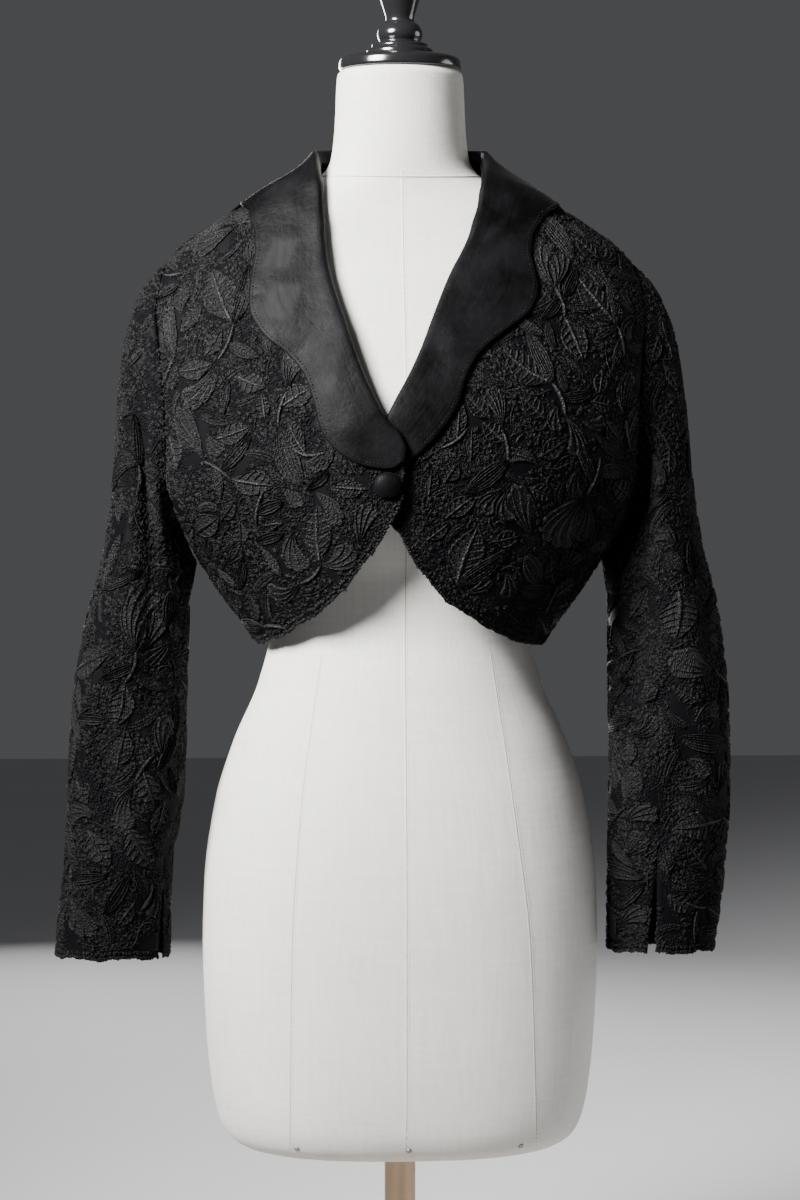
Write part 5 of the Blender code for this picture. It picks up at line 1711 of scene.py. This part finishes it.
def inside(outline, places):
    """Which places lie within a closed outline."""
    found = np.zeros(places.shape[:-1], bool)
    for (x0, y0), (x1, y1) in zip(outline, np.roll(outline, -1, axis=0)):
        if y0 == y1:
            continue
        crosses = (y0 > places[..., 1]) != (y1 > places[..., 1])
        at = x0 + (places[..., 1] - y0) * (x1 - x0) / (y1 - y0)
        found ^= crosses & (places[..., 0] < at)
    return found


def near_button(places):
    low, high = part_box("button")
    middle = np.array((low + high) / 2) / MM
    return np.linalg.norm((places - middle)[..., [0, 2]], axis=-1) < 12.5


def under_collar(side, reach):
    """Tests places for lying under the collar, more than reach inside its edge."""
    edge = [(row.edge_across - reach, row.edge_z + reach * 0.7) for row in COLLAR_FRONT[side]]
    outline = np.array([*edge, (150, 900), (-60, 900), (-60, 600 + reach)])

    def test(places):
        flat = np.stack([places[..., 0] * SIGN[side], places[..., 2] - FORM_FOOT_Z], axis=-1)
        return inside(outline, flat)

    return test


class BOLERO_OT_fronts(bpy.types.Operator):
    """Makes the two lapping fronts with their raised lace"""

    bl_idname = "bolero.fronts"
    bl_label = "Fronts"

    def execute(self, context):
        sizes = context.scene.bolero_sizes
        for side in ("right", "left"):
            ragged = ragged_edge(31 if side == "right" else 37, 0.0, 0.05, 0.8, 42.0)
            cloth = Cloth(front_surface(side), SIGN[side], *FRONT_GRID, ragged)
            deep = under_collar(side, 10.0)
            covered = under_collar(side, -4.0)

            def may_carry(places, deep=deep, side=side):
                lapped = (places[..., 0] < 4) if side == "left" else near_button(places)
                return ~deep(places) & ~lapped

            panel_pieces(f"front_{side}", cloth, sizes, 1.0, 0.0, may_carry, covered)
        return {"FINISHED"}


class BOLERO_OT_back(bpy.types.Operator):
    """Makes the back with its raised lace"""

    bl_idname = "bolero.back"
    bl_label = "Back"

    def execute(self, context):
        sizes = context.scene.bolero_sizes
        cloth = Cloth(back_surface(), 1.0, *BACK_GRID, ragged_edge(41, 0.0, 0.05, 0.7, 90.0))
        top = FORM_FOOT_Z + 822

        def may_carry(places):
            return places[..., 2] < top

        panel_pieces("back", cloth, sizes, 2.2, 0.0, may_carry)
        return {"FINISHED"}


class BOLERO_OT_sleeves(bpy.types.Operator):
    """Makes both sleeves, with the slit at each wrist"""

    bl_idname = "bolero.sleeves"
    bl_label = "Sleeves"

    def execute(self, context):
        sizes = context.scene.bolero_sizes
        columns, rows = SLEEVE_GRID
        for side in ("right", "left"):
            hang = SLEEVE_RINGS[side][0].z - SLEEVE_RINGS[side][-1].z
            slit_share = SLIT_LENGTH / hang * (1 - CAP_SHARE)
            joined_to = round(rows * (1 - slit_share))
            ragged = ragged_edge(51 if side == "right" else 57, 1.0, 0.04, 1.1, 40.0)
            surface = sleeve_surface(side)
            cloth = Cloth(surface, -SIGN[side], columns, rows, ragged, joined_to=joined_to)
            panel_pieces(f"sleeve_{side}", cloth, sizes, 1.6, 1.0)
        return {"FINISHED"}


# Painted window reflection on the collar: two lighter patches, each by x, z, half_width, half_height and
# slant, and their grey
PaintedReflection = namedtuple("PaintedReflection", "x z half_width half_height slant")
PAINTED_REFLECTION_PATCHES = [PaintedReflection(-104, 988, 11, 13, -0.5), PaintedReflection(-104, 947, 14, 16, -0.45)]
PAINTED_REFLECTION_GREY = (0.0150, 0.0148, 0.0147)


def painted_reflection_amount(points):
    """How much painted window reflection each place of the collar takes, in lighter patches with soft
    straight edges.
    """
    total = np.zeros(points.shape[:-1])
    for patch_at in PAINTED_REFLECTION_PATCHES:
        up = (points[..., 2] - patch_at.z) / patch_at.half_height
        across = (points[..., 0] - patch_at.x) / patch_at.half_width + patch_at.slant * up
        away = np.maximum(np.abs(up), np.abs(across))
        total = np.maximum(total, 1 - smoothstep(away, 0.75, 1.15))
    return total


EDGE_INSET = 3.0
EDGE_STITCH = 3.1


def edge_line(cloth, thickness):
    """Places and normals of the stitches along the collar's outer edge, a little way in from it."""
    u = np.linspace(0.012, 0.995, 600)
    fall = np.linalg.norm(cloth.spread(cloth.up, u, np.full(len(u), 0.95)), axis=-1)
    v = 1 - EDGE_INSET / fall
    places = cloth.at(u, v, np.full(len(u), thickness))
    run = np.concatenate([[0], np.cumsum(np.linalg.norm(np.diff(places, axis=0), axis=1))])
    even = np.interp(np.arange(0, run[-1], EDGE_STITCH), run, u)
    v = np.interp(even, u, v)
    normals = unit(cloth.spread(cloth.normals, even, v))
    return cloth.at(even, v, np.full(len(even), thickness + 0.02)), normals


class BOLERO_OT_collar(bpy.types.Operator):
    """Makes the two halves of the scalloped satin shawl collar"""

    bl_idname = "bolero.collar"
    bl_label = "Collar"

    def execute(self, context):
        thickness = context.scene.bolero_sizes.satin / MM
        for side in ("right", "left"):
            cloth = Cloth(collar_surface(side), -SIGN[side], *COLLAR_GRID, soften=4)
            # The painted window reflection, kept on the satin as an attribute
            rubbed = painted_reflection_amount(cloth.points)
            piece = cloth_shell(f"collar_{side}_satin", cloth, thickness, thickness * 0.45, "rubbed", rubbed)
            finished(piece, "satin", finish_named("satin"), f"collar_{side}")
            values = {"Knot width": 0.0016, "Sides": 6, "Seed": 2, "Finish": finish_named("thread")}
            stitches = grown(f"collar_{side}_stitches", *edge_line(cloth, thickness), knot_tree(), values)
            finished(stitches, "satin", finish_named("thread"))
            cloth.area() * MM * MM
        return {"FINISHED"}


def lathe(name, profile, steps):
    """Turns a profile of radius and height, top to bottom, about the upright axis."""
    profile = np.asarray(profile, float)
    turn = np.linspace(0, 2 * math.pi, steps, endpoint=False)
    ring = np.stack([np.cos(turn), np.sin(turn)], axis=1)
    levels = [np.concatenate([radius * ring, np.full((steps, 1), z)], axis=1) for radius, z in profile]
    points = np.concatenate(levels)
    ids = np.arange(steps)
    after = np.roll(ids, -1)
    quads = []
    for k in range(len(profile) - 1):
        low = k * steps
        high = low + steps
        quads.append(np.stack([low + after, low + ids, high + ids, high + after], axis=1))
    run = np.concatenate([[0], np.cumsum(np.linalg.norm(np.diff(profile, axis=0), axis=1))])
    uv = np.stack(np.broadcast_arrays(turn[None] * 40, run[:, None]), axis=-1).reshape(-1, 2)
    piece = new_mesh(name, points, quads, uv)
    weld(piece)
    return piece


def node_points(node):
    """The places of a CAD node's points, in millimetres."""
    mesh = bpy.data.objects[node].data if node in bpy.data.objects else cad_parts[node].data
    found = np.empty(len(mesh.vertices) * 3, np.float32)
    mesh.vertices.foreach_get("co", found)
    return np.unique(np.round(found.reshape(-1, 3).astype(float) / MM, 2), axis=0)


def rounded_profile(profile, radius, steps=4):
    """The profile with each corner turned into a short curve."""
    found = [profile[0]]
    for before, here, after in zip(profile, profile[1:], profile[2:]):
        before, here, after = np.asarray(before), np.asarray(here), np.asarray(after)
        back = before - here
        on = after - here
        reach = min(radius, np.linalg.norm(back) * 0.45, np.linalg.norm(on) * 0.45)
        start = here + back / np.linalg.norm(back) * reach
        stop = here + on / np.linalg.norm(on) * reach
        for k in range(steps + 1):
            t = k / steps
            found.append(tuple(start * (1 - t) ** 2 + 2 * here * t * (1 - t) + stop * t * t))
    found.append(profile[-1])
    return found


class BOLERO_OT_stand(bpy.types.Operator):
    """Makes the turned base, the pole and the lacquered knob"""

    bl_idname = "bolero.stand"
    bl_label = "Stand and knob"

    def execute(self, context):
        base = [(0, 26), (30, 26), (120, 21), (158, 17), (169, 13), (172, 8), (171, 1.5), (168, 0), (0, 0)]
        foot_plate = lathe("base_turned", rounded_profile(base, 4.0), 128)
        finished(foot_plate, "pale_wood", finish_named("wood"), "stand_base")
        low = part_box("stand_pole")[0][2] / MM
        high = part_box("stand_pole")[1][2] / MM
        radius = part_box("stand_pole")[1][0] / MM
        pole = [(0, high), (radius, high), (radius, low), (0, low)]
        upright = lathe("pole_turned", rounded_profile(pole, 1.0), 64)
        finished(upright, "pale_wood", finish_named("wood"), "stand_pole")
        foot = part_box("neck_cap")[0][2] / MM
        knob = [(radius, z + foot) for radius, z in KNOB_PROFILE]
        top = lathe("knob_turned", rounded_profile(knob, 2.2, 3), 72)
        finished(top, "black_lacquer", finish_named("lacquer"), "neck_cap")
        return {"FINISHED"}


# The knob's outline as radius and height above its foot
KNOB_PROFILE = [
    (0, 108), (9, 107), (16.5, 102.5), (21.5, 95), (23, 86), (20, 70), (15.5, 56), (12.4, 46),
    (12.2, 41.5), (16.5, 39), (19.6, 33), (19.6, 28), (17, 24), (24, 22.5), (24.6, 19),
    (28.6, 17.8), (29, 13), (47, 11.5), (52, 9), (53, 2), (52, 0), (0, 0),
]


def form_cloth():
    """The form's surface, smoothed between the rings of its CAD node."""
    points = node_points("dress_form")
    heights = np.unique(points[:, 2])
    sides = 32
    rings = []
    kept = []
    for z in heights:
        ring = points[np.abs(points[:, 2] - z) < 0.02]
        if len(ring) != sides:
            continue
        order = np.argsort(np.arctan2(ring[:, 0], -ring[:, 1]) % (2 * math.pi))
        rings.append(ring[order][:, :2])
        kept.append(z)
    rings = np.array(rings)
    rows = 150
    columns = 112
    level = np.interp(np.linspace(0, 1, rows + 1), np.linspace(0, 1, len(kept)), kept)
    level = 0.5 * level + 0.5 * np.linspace(kept[0], kept[-1], rows + 1)
    smooth = np.zeros((rows + 1, sides, 2))
    for k in range(sides):
        for axis in range(2):
            smooth[:, k, axis] = Curve(kept, rings[:, k, axis])(level)
    wave = np.fft.rfft(smooth, axis=1) * (columns / sides)
    fine = np.fft.irfft(wave, n=columns, axis=1)
    closed = np.concatenate([fine, fine[:, :1]], axis=1)
    full = np.concatenate([closed, np.broadcast_to(level[:, None, None], (*closed.shape[:2], 1))], axis=2)

    def point(_u, _v):
        return full - np.array([0, 0, FORM_FOOT_Z])

    return Cloth(point, 1.0, columns, rows)


TACK_SIDES = 14
TACK_Z = 33
TACKS = [(-92, True), (2, True), (98, True), (-60, False), (60, False)]
SeamPoint = namedtuple("SeamPoint", "x z")
FORM_SEAMS = {
    "centre_front": table(SeamPoint, (0, 24), (0, 300), (0, 480), (0, 700), (0, 860)),
    "princess_right": table(SeamPoint, (-98, 28), (-96, 200), (-88, 320), (-70, 450)),
    "princess_left": table(SeamPoint, (112, 28), (106, 200), (92, 320), (74, 450)),
    "back_right": table(SeamPoint, (-92, 28), (-88, 200), (-74, 330), (-58, 450)),
    "back_left": table(SeamPoint, (92, 28), (88, 200), (74, 330), (58, 450)),
    "centre_back": table(SeamPoint, (0, 24), (0, 300), (0, 450), (0, 700), (0, 860)),
}


def on_form(cloth, x, z, front):
    """The form's surface point and normal at a distance across and a height."""
    level = cloth.points[:, 0, 2]
    row = np.interp(z + FORM_FOOT_Z, level, np.arange(len(level)))
    low = int(np.clip(math.floor(row), 0, len(level) - 2))
    t = row - low
    ring = cloth.points[low] * (1 - t) + cloth.points[low + 1] * t
    normals = cloth.normals[low] * (1 - t) + cloth.normals[low + 1] * t
    half = cloth.columns // 2
    quarter = half // 2
    if front:
        pick = np.r_[cloth.columns - quarter : cloth.columns, 0 : quarter + 1]
    else:
        pick = np.r_[quarter : quarter + half + 1][::-1]
    xs = ring[pick, 0]
    y = np.interp(x, xs, ring[pick, 1])
    n = np.array([np.interp(x, xs, normals[pick, k]) for k in range(3)])
    return np.array([x, y, z + FORM_FOOT_Z]), n / np.linalg.norm(n)


class BOLERO_OT_form(bpy.types.Operator):
    """Makes the linen form with its sewn seams and the tacks at its foot"""

    bl_idname = "bolero.form"
    bl_label = "Dress form"

    def execute(self, context):
        cloth = form_cloth()
        seams = []
        for name, rows in FORM_SEAMS.items():
            front = "back" not in name
            z = np.linspace(rows[0].z, rows[-1].z, 120)
            x = Curve([row.z for row in rows], [row.x for row in rows])(z)
            found = [on_form(cloth, *pair, front) for pair in zip(x, z)]
            places = np.array([place for place, _normal in found])
            normals = np.array([normal for _place, normal in found])
            aside = unit(np.cross(unit(np.gradient(places, axis=0)), normals))
            seams.append((places, normals, aside))
        skin = cloth.points.reshape(-1, 3)
        rows, columns = cloth.rows, cloth.columns
        index = np.arange(len(skin)).reshape(rows + 1, columns + 1)
        caps = []
        extra = []
        for k, row in enumerate((0, rows)):
            ring = cloth.points[row, :-1]
            middle = ring.mean(0)
            extra.append(middle)
            centre = len(skin) + k
            ids = index[row, :-1]
            after = index[row, 1:]
            ends = [ids, after] if row else [after, ids]
            caps.append(np.stack([*ends, np.full(columns, centre)], axis=1))
        wide, long = cloth.size()
        u, v = np.meshgrid(cloth.u * wide, cloth.v * long)
        uv = np.concatenate([np.stack([u.ravel(), v.ravel()], axis=1), np.zeros((2, 2))])
        points = np.concatenate([skin, np.array(extra)])
        piece = new_mesh("dress_form_cover", points, [grid_faces(columns, rows), *caps], uv)
        weld(piece)
        finished(piece, "linen", finish_named("linen"), "dress_form")
        self.welts(seams)
        self.stitch(seams)
        self.neck_seam(cloth)
        self.tacks(cloth)
        return {"FINISHED"}

    def welts(self, seams):
        """The two pressed edges of each seam, with the line between them."""
        offsets = np.array([-2.0, -1.3, -0.6, -0.26, 0.26, 0.6, 1.3, 2.0])
        heights = np.array([-0.12, 0.12, 0.24, 0.03, 0.03, 0.24, 0.12, -0.12])
        # 0 gives the darker brownish line along the seam's middle
        lit = np.array([1.0, 1.0, 0.85, 0.0, 0.0, 0.85, 1.0, 1.0])
        points, faces, uv, rise = [], [], [], []
        for places, normals, aside in seams:
            rows = places[:, None] + aside[:, None] * offsets[None, :, None]
            rows = rows + normals[:, None] * heights[None, :, None]
            grid = rows.reshape(-1, 3)
            start = sum(len(group) for group in points)
            points.append(grid)
            faces.append(grid_faces(len(offsets) - 1, len(places) - 1, False, start))
            run = np.linspace(0, 800, len(places))
            uv.append(np.stack(np.broadcast_arrays(offsets[None], run[:, None]), axis=-1).reshape(-1, 2))
            rise.append(np.tile(lit, len(places)))
        uv = np.concatenate(uv)
        piece = new_mesh("form_seams", np.concatenate(points), faces, uv, np.concatenate(rise))
        finished(piece, "linen", finish_named("welt"))

    def stitch(self, seams):
        """Small stitches of sewing thread on both sides of each seam."""
        points = []
        normals = []
        for places, ways, aside in seams:
            for side in (-1.5, 1.5):
                points.append((places + aside * side + ways * 0.16)[2:-2])
                normals.append(ways[2:-2])
        values = {"Knot width": 0.0012, "Sides": 4, "Seed": 3, "Finish": finish_named("seam")}
        spots = np.concatenate(points), np.concatenate(normals)
        piece = grown("form_stitches", *spots, knot_tree(), values)
        finished(piece, "linen", finish_named("seam"))

    def neck_seam(self, cloth):
        """The cord where the neck is sewn to the body."""
        turn = np.linspace(0, 1, 97)
        z = 855 + 9 * (1 - np.cos(2 * math.pi * turn)) / 2
        ring = []
        for share, height in zip(turn, z):
            level = cloth.points[:, 0, 2]
            row = np.interp(height + FORM_FOOT_Z, level, np.arange(len(level)))
            place = cloth.at(np.array([share % 1.0]), np.array([row / cloth.rows]), np.array([0.05]))[0]
            ring.append(place)
        ring = np.array(ring)
        middle = ring.mean(0)
        out = unit((ring - middle) * [1, 1, 0])
        up = np.array([0, 0, 1.0])
        steps = 8
        shape = []
        for k in range(steps):
            angle = 2 * math.pi * k / steps
            shape.append(ring + out * math.cos(angle) * 0.7 + up * math.sin(angle) * 0.7)
        points = np.stack(shape, axis=1).reshape(-1, 3)
        i, j = np.meshgrid(np.arange(96), np.arange(steps), indexing="ij")
        low = (i * steps + j).ravel()
        side = (i * steps + (j + 1) % steps).ravel()
        quads = np.stack([low, side, side + steps, low + steps], axis=1)
        piece = new_mesh("neck_cord", points, [quads], points[:, :2])
        weld(piece)
        finished(piece, "linen", finish_named("seam"))

    def tacks(self, cloth):
        """Small steel tacks at the form's lower edge."""
        for k, (x, front) in enumerate(TACKS):
            place, normal = on_form(cloth, x, TACK_Z, front)
            shape, faces = dome(5.2, 1.6, TACK_SIDES)
            first = unit(np.cross(normal, [0, 0, 1.0]))
            second = np.cross(normal, first)
            points = place + shape[:, :1] * first + shape[:, 1:2] * second + shape[:, 2:] * normal
            piece = new_mesh(f"tack_{k}", points, faces, shape[:, :2])
            weld(piece)
            finished(piece, "linen", finish_named("tack"))


class BOLERO_OT_button(bpy.types.Operator):
    """Makes the satin-covered button with its gathered rim"""

    bl_idname = "bolero.button"
    bl_label = "Button"

    def execute(self, context):
        low, high = [np.array(corner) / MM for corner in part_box("button")]
        middle = (low + high) / 2
        points = node_points("button")
        centre = points.mean(0)
        _values, axes = np.linalg.eigh(np.cov((points - centre).T))
        normal = axes[:, 0]
        if normal[1] > 0:
            normal = -normal
        first = unit(np.cross(normal, [0, 0, 1.0]))
        second = np.cross(normal, first)
        across = (points - middle) @ first
        radius = (across.max() - across.min()) / 2
        depth = (points - middle) @ normal
        foot = depth.min()
        height = depth.max() - foot
        steps = 96
        turn = np.linspace(0, 2 * math.pi, steps, endpoint=False)
        rows = []
        profile = [(0.001, 1.0), (0.25, 0.985), (0.5, 0.92), (0.72, 0.80), (0.88, 0.60), (0.97, 0.38)]
        profile += [(1.0, 0.24), (0.985, 0.12), (0.93, 0.05), (0.8, 0.0), (0.001, 0.0)]
        for share, rise in profile:
            pleat = 1 + 0.012 * np.sin(26 * turn + 0.6 * np.sin(3 * turn)) * smoothstep(share, 0.5, 1.0)
            ring = radius * share * pleat
            rows.append(
                middle
                + np.outer(ring * np.cos(turn), first)
                + np.outer(ring * np.sin(turn), second)
                + normal * (foot + height * rise)
            )
        grid = np.array(rows)
        closed = np.concatenate([grid, grid[:, :1]], axis=1)
        uv = np.stack(np.meshgrid(np.linspace(0, 60, steps + 1), np.linspace(0, 14, len(profile))), axis=-1)
        piece = new_mesh(
            "button_satin", closed.reshape(-1, 3), [grid_faces(steps, len(profile) - 1)], uv.reshape(-1, 2)
        )
        weld(piece)
        finished(piece, "satin", finish_named("satin"), "button")
        return {"FINISHED"}


# Round soft lights, in metres. beam is the full angle that the light spreads over, in degrees
Lamp = namedtuple("Lamp", "name power place target size beam")
LAMPS = table(
    Lamp,
    ("key_light", "key_power", (-1.5, -1.25, 2.05), (-0.02, -0.1, 1.04), 1.1, 60),
    ("fill_light", "fill_power", (2.6, 0.3, 1.2), (0, 0, 0.8), 1.6, 120),
    ("back_light", "back_power", (-0.5, 2.7, 0.95), (0, 0, 0.8), 1.6, 120),
)
WORLD_COLOUR = (0.86, 0.87, 0.90, 1.0)
WORLD_STRENGTH = 0.085
FLOOR_REACH = 6000.0
FLOOR_DROP = 0.3


class BOLERO_OT_stage(bpy.types.Operator):
    """Sets the floor, the soft lights and the camera"""

    bl_idname = "bolero.stage"
    bl_label = "Stage"

    def execute(self, context):
        view = context.scene.bolero_view
        corners = FLOOR_REACH * np.array([[-1, -1, 0], [1, -1, 0], [1, 1, 0], [-1, 1, 0]])
        floor = new_mesh("floor", corners - [0, 0, FLOOR_DROP], [np.array([[0, 1, 2, 3]])])
        floor.data.materials.append(finish_named("floor"))
        data = bpy.data.cameras.new("camera")
        data.sensor_fit = "VERTICAL"
        data.sensor_height = 24.0
        data.lens = 12.0 / math.tan(view.field / 2)
        camera = bpy.data.objects.new("camera", data)
        context.scene.collection.objects.link(camera)
        flat = math.cos(view.elevation)
        across = math.sin(view.azimuth) * flat
        back = Vector((across, -math.cos(view.azimuth) * flat, math.sin(view.elevation)))
        camera.location = Vector((0, 0, view.target_z)) + back * view.distance
        camera.rotation_euler = (-back).to_track_quat("-Z", "Y").to_euler()
        context.scene.camera = camera
        for lamp in LAMPS:
            self.light(lamp, getattr(view, lamp.power))
        world = bpy.data.worlds.new("soft_grey")
        world.use_nodes = True
        shade = world.node_tree.nodes["Background"]
        shade.inputs["Color"].default_value = WORLD_COLOUR
        shade.inputs["Strength"].default_value = WORLD_STRENGTH
        context.scene.world = world
        return {"FINISHED"}

    def light(self, lamp, power):
        data = bpy.data.lights.new(lamp.name, "AREA")
        data.shape = "DISK"
        data.size = lamp.size
        data.energy = power
        data.spread = math.radians(lamp.beam)
        made = bpy.data.objects.new(lamp.name, data)
        made.location = lamp.place
        way = Vector(lamp.target) - Vector(lamp.place)
        made.rotation_euler = way.to_track_quat("-Z", "Y").to_euler()
        bpy.context.scene.collection.objects.link(made)


class BOLERO_PT_panel(bpy.types.Panel):
    """Lists the sizes, the colours and the steps"""

    bl_label = "Bolero"
    bl_idname = "BOLERO_PT_panel"
    bl_space_type = "VIEW_3D"
    bl_region_type = "UI"
    bl_category = "Bolero"

    def draw(self, context):
        layout = self.layout
        for group in (context.scene.bolero_sizes, context.scene.bolero_colours, context.scene.bolero_view):
            box = layout.box()
            for name in group.__annotations__:
                box.prop(group, name)
        for step in STEPS:
            layout.operator(step.bl_idname)


STEPS = (
    BOLERO_OT_stage,
    BOLERO_OT_form,
    BOLERO_OT_stand,
    BOLERO_OT_fronts,
    BOLERO_OT_back,
    BOLERO_OT_sleeves,
    BOLERO_OT_collar,
    BOLERO_OT_button,
)
CLASSES = (BoleroSizes, BoleroColours, BoleroView, *STEPS, BOLERO_PT_panel)


def register():
    for made in CLASSES:
        bpy.utils.register_class(made)
    bpy.types.Scene.bolero_sizes = PointerProperty(type=BoleroSizes)
    bpy.types.Scene.bolero_colours = PointerProperty(type=BoleroColours)
    bpy.types.Scene.bolero_view = PointerProperty(type=BoleroView)


def unregister():
    del bpy.types.Scene.bolero_sizes
    del bpy.types.Scene.bolero_colours
    del bpy.types.Scene.bolero_view
    for made in reversed(CLASSES):
        bpy.utils.unregister_class(made)


def main():
    register()
    bpy.ops.bolero.stage()
    bpy.ops.bolero.form()
    bpy.ops.bolero.stand()
    bpy.ops.bolero.fronts()
    bpy.ops.bolero.back()
    bpy.ops.bolero.sleeves()
    bpy.ops.bolero.collar()
    bpy.ops.bolero.button()


if __name__ == "__main__":
    main()
